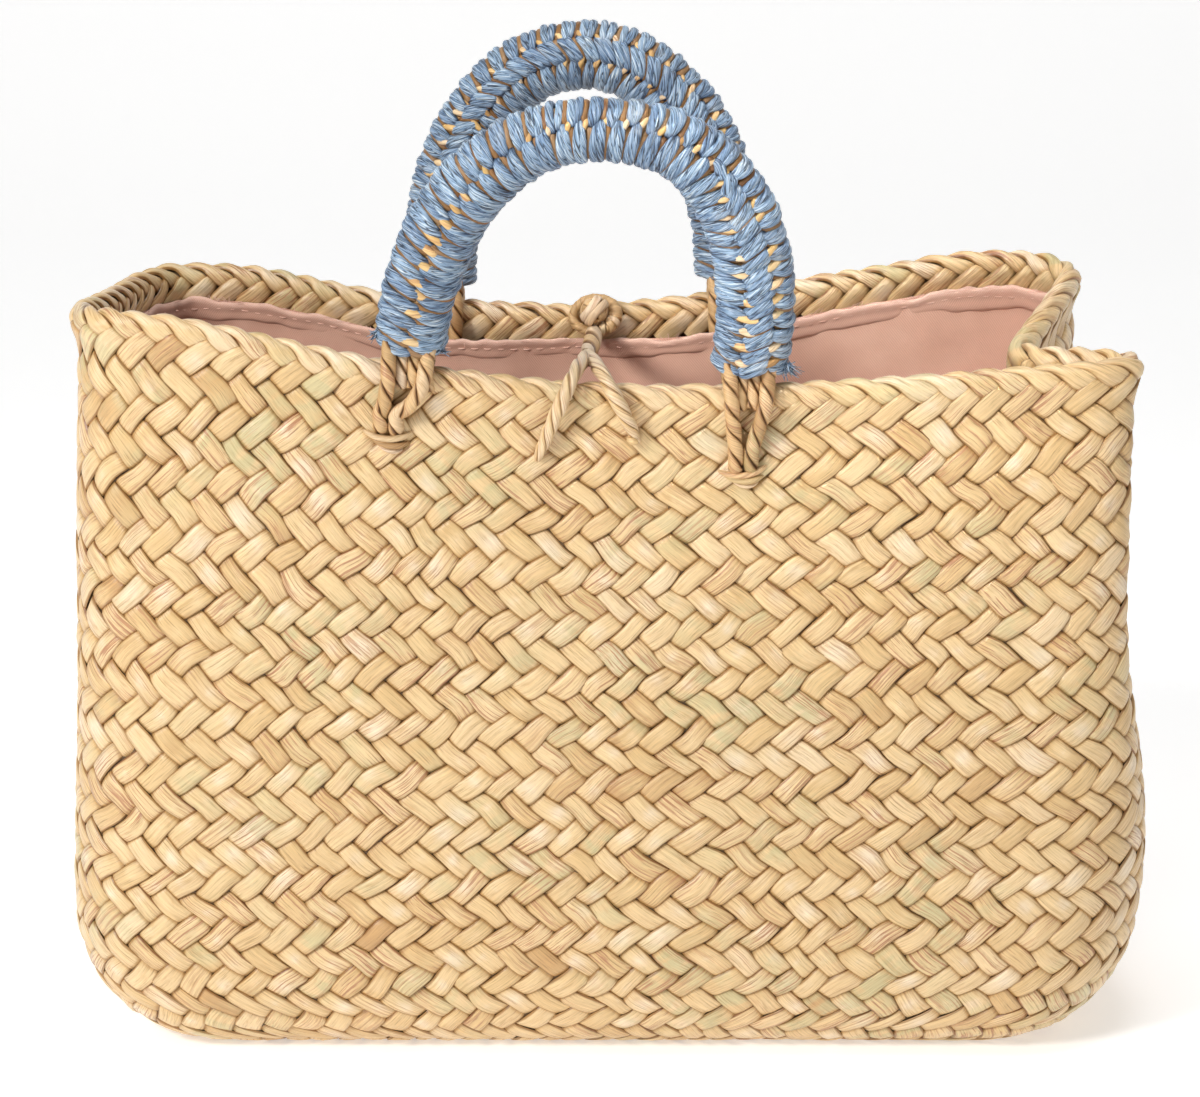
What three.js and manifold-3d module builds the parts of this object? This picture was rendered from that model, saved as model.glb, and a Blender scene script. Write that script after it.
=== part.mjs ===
import * as THREE from "three";
import { LoftGeometry } from "three/addons/geometries/LoftGeometry.js";
import { mergeVertices } from "three/addons/utils/BufferGeometryUtils.js";
import Module from "manifold-3d";

const wasm = await Module();
wasm.setup();

// Sizes in millimetres. The origin is the middle of the base underside.
// +X runs along the bag to its right, -Y is the front and +Z is up.
const BODY_LENGTH = 425;
const BODY_DEPTH = 156;
const MOUTH_LENGTH = 399;
const MOUTH_DEPTH = 138;
const WALL_HEIGHT = 261;
const WALL = 3;
const CORNER_RADIUS = 48;

// The base is flat in the middle and turns up into the walls in a quarter of an ellipse.
const TURN_HEIGHT = 52;
const TURN_INSET_ENDS = 46;
const TURN_INSET_SIDES = 26;
const TURN_SHARE = 0.22;

// The walls keep the rounded shape of the base up to this share of their height,
// and above it they turn gradually into the folded outline of the mouth.
const FOLD_START = 0.24;
const FOLD_POWER = 1.25;

// Plaited edge that runs round the top of the wall.
const EDGE_HEIGHT = 10.6;
const EDGE_THICKNESS = 10;

// Cloth lining with a folded hem.
const CLOTH = 1;
const HEM_THICKNESS = 2.2;
const HEM_START = 0.955;
const LINING_TOP = 0.993;
const LINING_GAP = 1.85;
const LINING_BULGE = 8;
const BULGE_AROUND = 0.034;
const BULGE_TALL = 0.24;

// Arched handles: a straw core in a wrapped sleeve.
const FOOT_LIFT = 8;
const CORE_SHARE = 0.56;
const WRAP_RIBS = 17;
const RIB_DEPTH = 0.7;

// Straw ropes that hold the handles.
const ROPE_RADIUS = 2.5;
const ROPE_SPREAD = 7.2;
const ROPE_FOOT_OUT = 7;
const ROPE_HOLE_SPREAD = 2.9;
const ROPE_HOLE_WIDTH = 18;
const ROPE_HOLE_HEIGHT = 9.8;
const ROPE_RISE = 4.5;

// Straw cord and knot that close the mouth.
const CORD_RADIUS = 3.1;
const STEM_RADIUS = 3.6;
const CORD_HOLE_WIDTH = 9;
const CORD_HOLE_HEIGHT = 12.5;
const RING_RADIUS = 8.6;
const RING_TUBE_RADIUS = 2.6;
const KNOT_RADIUS = 6;
const KNOT_FLATNESS = 0.85;
const KNOT_STALK_RADIUS = 2.4;
const KNOT_TILT = 25;

// Clearances between neighbours.
const SEAT_GAP = 0.3;
const EDGE_GAP = 0.35;
const FLOOR_GAP = 0.65;
const ROPE_GAP = 1.15;
const CORD_GAP = 1.1;
const KNOT_GAP = 1;

// Segment counts. A bend of one radian in the mouth counts as this many millimetres of it
// where the sections round the bag are spread out.
const BEND_WEIGHT = 58;
const WALL_AROUND = 72;
const EDGE_SIDES = 8;
const LINING_AROUND = 54;
const HANDLE_SIDES = 10;
const CORE_STEPS = 16;
const ARCH_STEPS = 20;
const ROPE_SIDES = 6;
const ROPE_STEPS = 14;
const CORD_SIDES = 8;
const LEG_STEPS = 14;
const STEM_STEPS = 5;
const RING_STEPS = 20;
const KNOT_SIDES = 12;
const KNOT_STEPS = 7;
const HOLE_SIDES = 20;
const STATION_STEPS = 24;

// Distances used to find a place or a direction on a curved face.
const PROBE = 0.0005;
const MERGE_DISTANCE = 0.001;
const HALVINGS = 40;

// Stations round the mouth, starting at the middle of the front and going to the right.
// x and y are shares of half the mouth length and depth, rise is a share of the wall height.
const MOUTH = [
  { x: 0.0, y: -1.0, rise: 0.0 },
  { x: 0.42, y: -1.0, rise: 0.004 },
  { x: 0.78, y: -1.0, rise: 0.024 },
  { x: 0.94, y: -0.985, rise: 0.034 },
  { x: 1.0, y: -0.86, rise: 0.036 },
  { x: 0.975, y: -0.71, rise: 0.034 },
  { x: 0.905, y: -0.58, rise: 0.03 },
  { x: 0.845, y: -0.46, rise: 0.026 },
  { x: 0.815, y: -0.28, rise: 0.024 },
  { x: 0.835, y: -0.08, rise: 0.03 },
  { x: 0.885, y: 0.2, rise: 0.055 },
  { x: 0.935, y: 0.5, rise: 0.08 },
  { x: 0.955, y: 0.74, rise: 0.09 },
  { x: 0.9, y: 0.94, rise: 0.098 },
  { x: 0.77, y: 1.0, rise: 0.098 },
  { x: 0.45, y: 1.0, rise: 0.06 },
  { x: 0.0, y: 1.0, rise: 0.015 },
  { x: -0.42, y: 1.0, rise: 0.03 },
  { x: -0.76, y: 1.0, rise: 0.076 },
  { x: -0.9, y: 0.93, rise: 0.08 },
  { x: -0.95, y: 0.68, rise: 0.08 },
  { x: -0.985, y: 0.0, rise: 0.086 },
  { x: -1.0, y: -0.68, rise: 0.1 },
  { x: -0.94, y: -0.94, rise: 0.106 },
  { x: -0.78, y: -1.0, rise: 0.094 },
  { x: -0.42, y: -1.0, rise: 0.036 },
];
const BACK_STATION = 16;

// Soft dents and swells of the walls. around is a share of the way round, height, wide and
// tall are shares too, and out is a share of the body depth, towards the outside.
const DENTS = [
  { around: 0.03, height: 0.45, wide: 0.1, tall: 0.28, out: 0.022 },
  { around: 0.9, height: 0.6, wide: 0.05, tall: 0.18, out: -0.012 },
  { around: 0.5, height: 0.5, wide: 0.12, tall: 0.25, out: 0.02 },
  { around: 0.39, height: 0.35, wide: 0.05, tall: 0.2, out: -0.014 },
  { around: 0.75, height: 0.62, wide: 0.05, tall: 0.22, out: -0.03 },
  { around: 0.21, height: 0.44, wide: 0.04, tall: 0.2, out: 0.05 },
  { around: 0.66, height: 0.28, wide: 0.06, tall: 0.2, out: 0.012 },
];

// The handles: lean is towards the outside, in degrees. The feet are shares of half the mouth
// length. rise is the height of the arch in millimetres, bend the power of its curve, where 2 is
// an ellipse, and sway how far it leans to the right as a share of its height.
const HANDLES = [
  { name: "front", side: -1, left: -0.366, right: 0.27, lean: 17, rise: 93, bend: 2.25, sway: 0.07 },
  { name: "back", side: 1, left: -0.342, right: 0.262, lean: -5, rise: 93, bend: 2.05, sway: 0.01 },
];

// Thickness of a handle from foot to foot: in its plane and across it, in millimetres.
const HANDLE_THICKNESS = {
  front: [
    { along: 0, plane: 27, across: 21 },
    { along: 0.2, plane: 28, across: 21 },
    { along: 0.5, plane: 23.5, across: 21 },
    { along: 0.8, plane: 29, across: 21 },
    { along: 1, plane: 29, across: 21 },
  ],
  back: [
    { along: 0, plane: 30, across: 21 },
    { along: 0.2, plane: 31, across: 21 },
    { along: 0.5, plane: 28, across: 22 },
    { along: 0.8, plane: 30, across: 21 },
    { along: 1, plane: 30, across: 21 },
  ],
};

// A row for each foot: how far its rope hole sits from the foot along X, and below the wall top.
const FEET = [
  { handle: "front", foot: "left", shift: -8, drop: 12 },
  { handle: "front", foot: "right", shift: -2, drop: 18 },
  { handle: "back", foot: "left", shift: 3, drop: 20 },
  { handle: "back", foot: "right", shift: -3, drop: 20 },
];

// The two tips of the closing cord on the front wall: x is a share of half the mouth length.
const CORD_TIPS = [
  { x: -0.128, edgeX: -0.078, drop: 19 },
  { x: 0.062, edgeX: 0.002, drop: 10 },
];
const CORD_JOIN = { x: -0.034, y: -0.14 };
const KNOT_X = -0.022;

const COLOURS = {
  straw: 0xd9b97a,
  edge: 0xd2b070,
  cloth: 0xc79c8c,
  core: 0xd8ad62,
  wrap: 0x8fb4dc,
  rope: 0xc9a468,
};

function smoothStep(at) {
  const clamped = Math.min(Math.max(at, 0), 1);
  return clamped * clamped * (3 - 2 * clamped);
}

// A rounded rectangle by the share of the way round it, from the middle of the front.
function roundedOutline(around, halfLength, halfDepth, radius) {
  const front = halfLength - radius;
  const end = halfDepth - radius;
  const arc = (Math.PI / 2) * radius;
  const quarter = front + arc + end;
  const quadrant = Math.floor(around * 4) % 4;
  let run = (around * 4 - Math.floor(around * 4)) * quarter;
  const mirrored = quadrant % 2 === 1;
  if (mirrored) {
    run = quarter - run;
  }
  let x = Math.min(run, front);
  let y = halfDepth;
  if (run > front && run <= front + arc) {
    const angle = (run - front) / radius;
    x = front + radius * Math.sin(angle);
    y = end + radius * Math.cos(angle);
  }
  if (run > front + arc) {
    x = halfLength;
    y = quarter - run;
  }
  const right = quadrant < 2;
  const back = quadrant === 1 || quadrant === 2;
  return new THREE.Vector2(right ? x : -x, back ? y : -y);
}

// The mouth as a dense line through its stations, with the share of the way round of each point.
function traceMouth() {
  const stations = MOUTH.map(
    (row) =>
      new THREE.Vector3(
        (row.x * MOUTH_LENGTH) / 2,
        (row.y * MOUTH_DEPTH) / 2,
        row.rise * WALL_HEIGHT,
      ),
  );
  const curve = new THREE.CatmullRomCurve3(stations, true, "centripetal");
  const count = MOUTH.length * STATION_STEPS;
  const points = [];
  const runs = [0];
  for (let i = 0; i <= count; i += 1) {
    points.push(curve.getPoint((i / count) % 1));
    if (i > 0) {
      runs.push(runs[i - 1] + points[i].distanceTo(points[i - 1]));
    }
  }
  const half = BACK_STATION * STATION_STEPS;
  const shares = runs.map((run, i) =>
    i <= half
      ? (0.5 * run) / runs[half]
      : 0.5 + (0.5 * (run - runs[half])) / (runs[count] - runs[half]),
  );
  return { points, shares };
}
const mouthLine = traceMouth();

function mouthAt(around) {
  const { points, shares } = mouthLine;
  let low = 0;
  let high = shares.length - 1;
  while (high - low > 1) {
    const middle = (low + high) >> 1;
    if (shares[middle] <= around) {
      low = middle;
    } else {
      high = middle;
    }
  }
  const part = (around - shares[low]) / (shares[high] - shares[low]);
  return points[low].clone().lerp(points[high], part);
}

function wrapShare(around) {
  return around - Math.floor(around);
}

function dentAt(around, height) {
  let out = 0;
  for (const dent of DENTS) {
    const away = wrapShare(around - dent.around + 0.5) - 0.5;
    const reach = (away / dent.wide) ** 2 + ((height - dent.height) / dent.tall) ** 2;
    out += dent.out * BODY_DEPTH * Math.exp(-reach);
  }
  return out;
}

// Outside of the wall. up runs from 0 at the edge of the flat base to 1 at the top of the wall.
function outsideAt(around, up) {
  const share = wrapShare(around);
  const angle = (Math.PI / 2) * Math.min(up / TURN_SHARE, 1);
  const inset = 1 - Math.sin(angle);
  const turn = TURN_HEIGHT / WALL_HEIGHT;
  const height =
    up < TURN_SHARE
      ? turn * (1 - Math.cos(angle))
      : turn + ((1 - turn) * (up - TURN_SHARE)) / (1 - TURN_SHARE);
  const low = roundedOutline(
    share,
    BODY_LENGTH / 2 - TURN_INSET_ENDS * inset,
    BODY_DEPTH / 2 - TURN_INSET_SIDES * inset,
    CORNER_RADIUS - TURN_INSET_SIDES * inset,
  );
  const mouth = mouthAt(share);
  const folded = Math.max(0, (height - FOLD_START) / (1 - FOLD_START)) ** FOLD_POWER;
  const push = dentAt(share, height) * (1 - inset) * (1 - folded);
  const out = low.clone().normalize().multiplyScalar(push);
  return new THREE.Vector3(
    THREE.MathUtils.lerp(low.x + out.x, mouth.x, folded),
    THREE.MathUtils.lerp(low.y + out.y, mouth.y, folded),
    height * WALL_HEIGHT + mouth.z * height * height,
  );
}

function normalAt(around, up) {
  const along = outsideAt(around + PROBE, up).sub(outsideAt(around - PROBE, up));
  const lower = Math.max(up - PROBE, 0);
  const upper = Math.min(up + PROBE, 1);
  const rise = outsideAt(around, upper).sub(outsideAt(around, lower));
  return along.cross(rise).normalize();
}

// A point at a distance inside the outer face of the wall; a negative distance is outside it.
function wallAt(around, up, inward) {
  return outsideAt(around, up).addScaledVector(normalAt(around, up), -inward);
}

// Shares of the way round, closer together where the mouth turns.
function spreadAround(count) {
  const { points, shares } = mouthLine;
  const weights = [0];
  for (let i = 1; i < points.length; i += 1) {
    const next = (i % (points.length - 1)) + 1;
    const before = points[i].clone().sub(points[i - 1]).setZ(0);
    const after = points[next].clone().sub(points[next - 1]).setZ(0);
    weights.push(weights[i - 1] + before.length() + BEND_WEIGHT * before.angleTo(after));
  }
  const total = weights[weights.length - 1];
  const spread = [];
  let at = 0;
  for (let i = 0; i < count; i += 1) {
    const wanted = (total * i) / count;
    while (weights[at + 1] < wanted) {
      at += 1;
    }
    const part = (wanted - weights[at]) / (weights[at + 1] - weights[at]);
    spread.push(THREE.MathUtils.lerp(shares[at], shares[at + 1], part));
  }
  return spread;
}

// A solid through a row of sections with flat ends.
function capped(sections) {
  return new LoftGeometry(sections, { capStart: true, capEnd: true });
}

// A solid through a row of sections that ends where it began.
function looped(sections) {
  return new LoftGeometry([...sections, sections[0]]);
}

// A round tube along a curve, closed at both ends.
function tube(curve, steps, sides, radius) {
  const section = new THREE.Shape().absarc(0, 0, radius, 0, 2 * Math.PI);
  return new THREE.ExtrudeGeometry(section, {
    extrudePath: curve,
    steps,
    curveSegments: sides / 2,
    bevelEnabled: false,
  });
}

// Vertices in one place become one, and triangles that have no area left are dropped.
function toSolid(geometry) {
  const bare = new THREE.BufferGeometry();
  bare.setAttribute("position", geometry.getAttribute("position"));
  bare.setIndex(geometry.index);
  const merged = mergeVertices(bare, MERGE_DISTANCE);
  const corners = merged.index.array;
  const kept = [];
  for (let i = 0; i < corners.length; i += 3) {
    const [a, b, c] = corners.slice(i, i + 3);
    if (a !== b && b !== c && c !== a) {
      kept.push(a, b, c);
    }
  }
  return new wasm.Manifold(
    new wasm.Mesh({
      numProp: 3,
      vertProperties: merged.attributes.position.array,
      triVerts: new Uint32Array(kept),
    }),
  );
}

function toGeometry(solid) {
  const mesh = solid.getMesh();
  const geometry = new THREE.BufferGeometry();
  const count = mesh.vertProperties.length / mesh.numProp;
  const positions = new Float32Array(count * 3);
  for (let i = 0; i < count; i += 1) {
    positions.set(mesh.vertProperties.subarray(i * mesh.numProp, i * mesh.numProp + 3), i * 3);
  }
  geometry.setAttribute("position", new THREE.BufferAttribute(positions, 3));
  geometry.setIndex(new THREE.BufferAttribute(mesh.triVerts, 1));
  return geometry;
}

function middleOf(section) {
  const sum = new THREE.Vector3();
  section.forEach((place) => sum.add(place));
  return sum.multiplyScalar(1 / section.length);
}

// A shell through a row of sections whose first and last close to a point on the axis.
function shell(sections) {
  const closeTo = (section) => section.map(() => new THREE.Vector3(0, 0, middleOf(section).z));
  const first = closeTo(sections[0]);
  const last = closeTo(sections[sections.length - 1]);
  return toSolid(new LoftGeometry([first, ...sections, last]));
}

const bag = new THREE.Group();
bag.name = "straw_basket_bag";

function addNode(name, geometry, colour, group = bag) {
  geometry.computeVertexNormals();
  const material = new THREE.MeshStandardMaterial({ color: colour, roughness: 0.8 });
  const mesh = new THREE.Mesh(geometry, material);
  mesh.name = name;
  group.add(mesh);
}

// Rings of the wall at a depth inside its outer face.
function wallRing(spread, up, inward) {
  return spread.map((around) => wallAt(around, up, inward));
}

function upSteps(turnSteps, wallSteps, top) {
  const steps = [];
  for (let i = 0; i < turnSteps; i += 1) {
    steps.push((TURN_SHARE * i) / turnSteps);
  }
  for (let i = 0; i <= wallSteps; i += 1) {
    steps.push(TURN_SHARE + ((top - TURN_SHARE) * i) / wallSteps);
  }
  return steps;
}

// The share of the way round where the wall stands at a given x, on the front or the back.
function aroundAtX(x, side, up) {
  const onFront = side < 0;
  let low = onFront ? -0.2 : 0.3;
  let high = onFront ? 0.2 : 0.7;
  for (let i = 0; i < HALVINGS; i += 1) {
    const middle = (low + high) / 2;
    const before = outsideAt(middle, up).x < x;
    if (before === onFront) {
      low = middle;
    } else {
      high = middle;
    }
  }
  return wrapShare((low + high) / 2);
}

// The share up the wall that is a given drop below the wall top.
function upAtDrop(around, drop) {
  const top = outsideAt(around, 1).z;
  let low = TURN_SHARE;
  let high = 1;
  for (let i = 0; i < HALVINGS; i += 1) {
    const middle = (low + high) / 2;
    if (top - outsideAt(around, middle).z > drop) {
      low = middle;
    } else {
      high = middle;
    }
  }
  return (low + high) / 2;
}

// The middle line of the plaited edge above the wall.
function edgeCentre(around) {
  const centre = wallAt(around, 1, WALL / 2);
  centre.z = Math.max(outsideAt(around, 1).z, wallAt(around, 1, WALL).z) + EDGE_GAP + EDGE_HEIGHT / 2;
  return centre;
}

// A handle's group has its origin between the feet, X along it and Y up in its plane.
function handleFrame(row) {
  const foot = (share) => {
    const around = aroundAtX((share * MOUTH_LENGTH) / 2, row.side, 1);
    const place = edgeCentre(around);
    place.z += EDGE_HEIGHT / 2 + FOOT_LIFT;
    return place;
  };
  const left = foot(row.left);
  const right = foot(row.right);
  const along = right.clone().sub(left).normalize();
  const lean = THREE.MathUtils.degToRad(row.lean);
  const up = new THREE.Vector3(0, row.side * Math.sin(lean), Math.cos(lean));
  up.addScaledVector(along, -up.dot(along)).normalize();
  const group = new THREE.Group();
  group.name = "handle_" + row.name;
  group.position.copy(left).lerp(right, 0.5);
  group.quaternion.setFromRotationMatrix(
    new THREE.Matrix4().makeBasis(along, up, along.clone().cross(up)),
  );
  group.updateMatrixWorld();
  bag.add(group);
  const half = left.distanceTo(right) / 2;
  return { ...row, group, half, curve: archCurve(row, half) };
}

function archCurve(row, half) {
  const points = [];
  for (let i = 0; i <= ARCH_STEPS; i += 1) {
    const angle = Math.PI * (1 - i / ARCH_STEPS);
    const cosine = Math.cos(angle);
    const across = half * Math.sign(cosine) * Math.abs(cosine) ** (2 / row.bend);
    const high = row.rise * Math.abs(Math.sin(angle)) ** (2 / row.bend);
    points.push(new THREE.Vector3(across + row.sway * high, high, 0));
  }
  return new THREE.CatmullRomCurve3(points, false, "centripetal");
}
const handles = HANDLES.map(handleFrame);

function tableValue(rows, key, value, at) {
  let i = 1;
  while (i < rows.length - 1 && rows[i][key] < at) {
    i += 1;
  }
  const part = (at - rows[i - 1][key]) / (rows[i][key] - rows[i - 1][key]);
  return THREE.MathUtils.lerp(rows[i - 1][value], rows[i][value], smoothStep(part));
}

// Sections across a handle; scale shrinks them and rib is the depth of the ribs.
function handleSections(frame, count, scale, rib) {
  const rows = HANDLE_THICKNESS[frame.name];
  const facing = new THREE.Vector3(0, 0, 1);
  const sections = [];
  for (let i = 0; i <= count; i += 1) {
    const along = i / count;
    const centre = frame.curve.getPointAt(along);
    const tangent = frame.curve.getTangentAt(along);
    const inPlane = facing.clone().cross(tangent);
    const dip = i % 2 === 0 ? rib : 0;
    const planeHalf = (tableValue(rows, "along", "plane", along) / 2) * scale - dip;
    const acrossHalf = (tableValue(rows, "along", "across", along) / 2) * scale - dip;
    const section = [];
    for (let j = 0; j < HANDLE_SIDES; j += 1) {
      const angle = (2 * Math.PI * j) / HANDLE_SIDES;
      section.push(
        centre
          .clone()
          .addScaledVector(inPlane, planeHalf * Math.cos(angle))
          .addScaledVector(facing, acrossHalf * Math.sin(angle)),
      );
    }
    sections.push(section);
  }
  return sections;
}

// Everything about one foot: its place, its rope hole and the two ropes that run through it.
function footPlan(row) {
  const frame = handles.find((handle) => handle.name === row.handle);
  const end = row.foot === "left" ? 0 : 1;
  const place = frame.curve.getPointAt(end);
  const legUp = frame.curve.getTangentAt(end).multiplyScalar(1 - 2 * end);
  const legAlong = legUp.clone().cross(new THREE.Vector3(0, 0, 1));
  const footSpot = frame.group.localToWorld(place.clone());
  const holeAround = aroundAtX(footSpot.x + row.shift, frame.side, 1);
  const holeUp = upAtDrop(holeAround, row.drop);
  return { ...row, frame, footSpot, place, legUp, legAlong, holeAround, holeUp };
}
const feet = FEET.map(footPlan);

// A rope leaves the underside of the handle, goes down outside the wall, through the hole
// and up again between the wall and the lining.
function ropeCurve(plan, way) {
  const { frame, footSpot } = plan;
  const topX = way * ROPE_SPREAD;
  const holeX = way * ROPE_HOLE_SPREAD;
  const outward = ROPE_RADIUS + ROPE_GAP;
  const inward = WALL + outward;
  const edgeOut = (EDGE_THICKNESS - WALL) / 2 + outward;
  const hole = outsideAt(plan.holeAround, plan.holeUp);
  const at = (x, drop, depth) => {
    const around = aroundAtX(x, frame.side, plan.holeUp);
    return wallAt(around, upAtDrop(around, drop), depth);
  };
  const under = (outShift, drop) => {
    const spot = plan.place.clone().addScaledVector(plan.legAlong, topX);
    spot.addScaledVector(plan.legUp, -drop);
    spot.z -= frame.side * outShift;
    return frame.group.localToWorld(spot);
  };
  const beside = (depth) => {
    const x = THREE.MathUtils.lerp(footSpot.x + topX, hole.x + holeX, 0.2);
    const spot = edgeCentre(aroundAtX(x, frame.side, 1));
    spot.y += frame.side * depth;
    return spot;
  };
  const edgeReach = EDGE_THICKNESS / 2 + outward;
  const turnX = hole.x + holeX;
  const midX = THREE.MathUtils.lerp(footSpot.x + topX, turnX, 0.65);
  return new THREE.CatmullRomCurve3(
    [
      under(ROPE_FOOT_OUT, SEAT_GAP),
      under(ROPE_FOOT_OUT, ROPE_RADIUS),
      beside(edgeReach),
      at(midX, plan.drop * 0.3, -edgeOut * 0.72),
      at(turnX, plan.drop - ROPE_RISE, -outward - 0.3),
      at(turnX, plan.drop + 0.2, -outward + 1.1),
      at(turnX, plan.drop + 2.2, WALL / 2),
      at(turnX, plan.drop + 0.2, inward - 1.1),
      at(turnX, plan.drop - ROPE_RISE, inward + 0.3),
      at(midX, plan.drop * 0.3, inward + 2),
      beside(-edgeReach),
      under(-ROPE_FOOT_OUT, ROPE_RADIUS),
      under(-ROPE_FOOT_OUT, SEAT_GAP),
    ],
    false,
    "centripetal",
  );
}

// An oval cutter through the wall.
function holeCutter(around, up, width, height) {
  const centre = wallAt(around, up, WALL / 2);
  const normal = normalAt(around, up);
  const reach = WALL * 2;
  const cylinder = new THREE.CylinderGeometry(1, 1, 2 * reach, HOLE_SIDES);
  cylinder.scale(width / 2, 1, height / 2);
  const turn = new THREE.Matrix4();
  const sideways = new THREE.Vector3(0, 0, 1).cross(normal).normalize();
  turn.makeBasis(sideways, normal, sideways.clone().cross(normal));
  cylinder.applyMatrix4(turn);
  cylinder.translate(centre.x, centre.y, centre.z);
  return toSolid(cylinder);
}

const cordTips = CORD_TIPS.map((tip) => {
  const around = aroundAtX((tip.x * MOUTH_LENGTH) / 2, -1, 1);
  return { ...tip, around, up: upAtDrop(around, tip.drop) };
});

// Basket body: the outer face, the top of the wall and the inner face as one skin.
function makeBody() {
  const spread = spreadAround(WALL_AROUND);
  const outer = upSteps(4, 6, 1);
  const inner = upSteps(3, 5, 1).reverse();
  let body = shell([
    ...outer.map((up) => wallRing(spread, up, 0)),
    ...inner.map((up) => wallRing(spread, up, WALL)),
  ]);
  for (const plan of feet) {
    const up = upAtDrop(plan.holeAround, plan.drop + 2);
    body = body.subtract(holeCutter(plan.holeAround, up, ROPE_HOLE_WIDTH, ROPE_HOLE_HEIGHT));
  }
  for (const tip of cordTips) {
    const up = upAtDrop(tip.around, tip.drop - 1.5);
    body = body.subtract(holeCutter(tip.around, up, CORD_HOLE_WIDTH, CORD_HOLE_HEIGHT));
  }
  return toGeometry(body);
}
addNode("basket_body", makeBody(), COLOURS.straw);

// The edge has flat sides, so its corners stand out by this share.
const edgeCorner = Math.cos(Math.PI / EDGE_SIDES);
const edgeReach = Math.max(EDGE_HEIGHT, EDGE_THICKNESS) / 2 / edgeCorner;

function makeEdge() {
  const rings = spreadAround(WALL_AROUND).map((around) => {
    const centre = edgeCentre(around);
    const ahead = edgeCentre(wrapShare(around + PROBE));
    const behind = edgeCentre(wrapShare(around - PROBE));
    const tangent = ahead.sub(behind).setZ(0).normalize();
    const outward = new THREE.Vector3(tangent.y, -tangent.x, 0);
    const ring = [];
    for (let j = 0; j < EDGE_SIDES; j += 1) {
      const angle = (2 * Math.PI * (j + 0.5)) / EDGE_SIDES;
      const spot = centre.clone();
      spot.addScaledVector(outward, ((-EDGE_THICKNESS / 2) * Math.cos(angle)) / edgeCorner);
      spot.z += ((EDGE_HEIGHT / 2) * Math.sin(angle)) / edgeCorner;
      ring.push(spot);
    }
    return ring;
  });
  return looped(rings);
}
addNode("plaited_edge", makeEdge(), COLOURS.edge);

// How far the lining stands off the inner face of the wall: it bulges over the ropes.
function liningDepth(around, up) {
  const rise = smoothStep((2.5 * up) / TURN_SHARE);
  let bulge = 0;
  for (const plan of feet) {
    const away = wrapShare(around - plan.holeAround + 0.5) - 0.5;
    const middle = plan.holeUp;
    const reach = (away / BULGE_AROUND) ** 4 + (Math.max(0, middle - up) / BULGE_TALL) ** 2;
    bulge = Math.max(bulge, Math.exp(-reach));
  }
  return WALL + THREE.MathUtils.lerp(FLOOR_GAP, LINING_GAP, rise) + LINING_BULGE * bulge;
}

function liningRing(spread, up, extra) {
  return spread.map((around) => wallAt(around, up, liningDepth(around, up) + extra));
}

function makeLining() {
  const spread = spreadAround(LINING_AROUND);
  const outer = [...upSteps(3, 5, HEM_START), LINING_TOP];
  const inner = upSteps(2, 4, HEM_START).reverse();
  const cloth = shell([
    ...outer.map((up) => liningRing(spread, up, 0)),
    liningRing(spread, LINING_TOP, HEM_THICKNESS),
    liningRing(spread, HEM_START + 0.004, HEM_THICKNESS),
    ...inner.map((up) => liningRing(spread, up, CLOTH)),
  ]);
  return toGeometry(cloth);
}
addNode("lining", makeLining(), COLOURS.cloth);

for (const frame of handles) {
  const core = handleSections(frame, CORE_STEPS, CORE_SHARE, 0);
  const bore = core.map((section) => {
    const centre = middleOf(section);
    return section.map((place) => {
      const away = place.clone().sub(centre);
      return centre.clone().addScaledVector(away, 1 + (2 * SEAT_GAP) / away.length());
    });
  });
  const wrap = handleSections(frame, WRAP_RIBS * 2, 1, RIB_DEPTH);
  addNode("handle_" + frame.name + "_core", capped(core), COLOURS.core, frame.group);
  addNode(
    "handle_" + frame.name + "_wrap",
    looped([...wrap, ...bore.reverse()]),
    COLOURS.wrap,
    frame.group,
  );
}

for (const plan of feet) {
  for (const [way, label] of [
    [-1, "a"],
    [1, "b"],
  ]) {
    addNode(
      "rope_" + plan.handle + "_" + plan.foot + "_" + label,
      tube(ropeCurve(plan, way), ROPE_STEPS, ROPE_SIDES, ROPE_RADIUS),
      COLOURS.rope,
    );
  }
}

// The knot stands on the back edge and the ring of the cord goes round its stalk.
const knotTilt = THREE.MathUtils.degToRad(KNOT_TILT);
const knotAxis = new THREE.Vector3(0, -Math.cos(knotTilt), Math.sin(knotTilt));
const knotRoot = edgeCentre(aroundAtX((KNOT_X * MOUTH_LENGTH) / 2, 1, 1));
const ringHeight = edgeReach + KNOT_GAP + RING_TUBE_RADIUS;
const knotHeight = ringHeight + KNOT_RADIUS * KNOT_FLATNESS;

function makeKnot() {
  const profile = [[0, edgeReach + SEAT_GAP]];
  profile.push([KNOT_STALK_RADIUS, edgeReach + SEAT_GAP]);
  const start = Math.asin(KNOT_STALK_RADIUS / KNOT_RADIUS);
  for (let i = 0; i <= KNOT_STEPS; i += 1) {
    const angle = start + ((Math.PI - start) * i) / KNOT_STEPS;
    const high = knotHeight - KNOT_RADIUS * KNOT_FLATNESS * Math.cos(angle);
    profile.push([i < KNOT_STEPS ? KNOT_RADIUS * Math.sin(angle) : 0, high]);
  }
  const lathe = new THREE.LatheGeometry(
    profile.map(([radius, high]) => new THREE.Vector2(radius, high)),
    KNOT_SIDES,
  );
  const turn = new THREE.Quaternion().setFromUnitVectors(new THREE.Vector3(0, 1, 0), knotAxis);
  lathe.applyQuaternion(turn);
  lathe.translate(knotRoot.x, knotRoot.y, knotRoot.z);
  return toGeometry(toSolid(lathe));
}
addNode("closing_knot", makeKnot(), COLOURS.rope);

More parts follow.
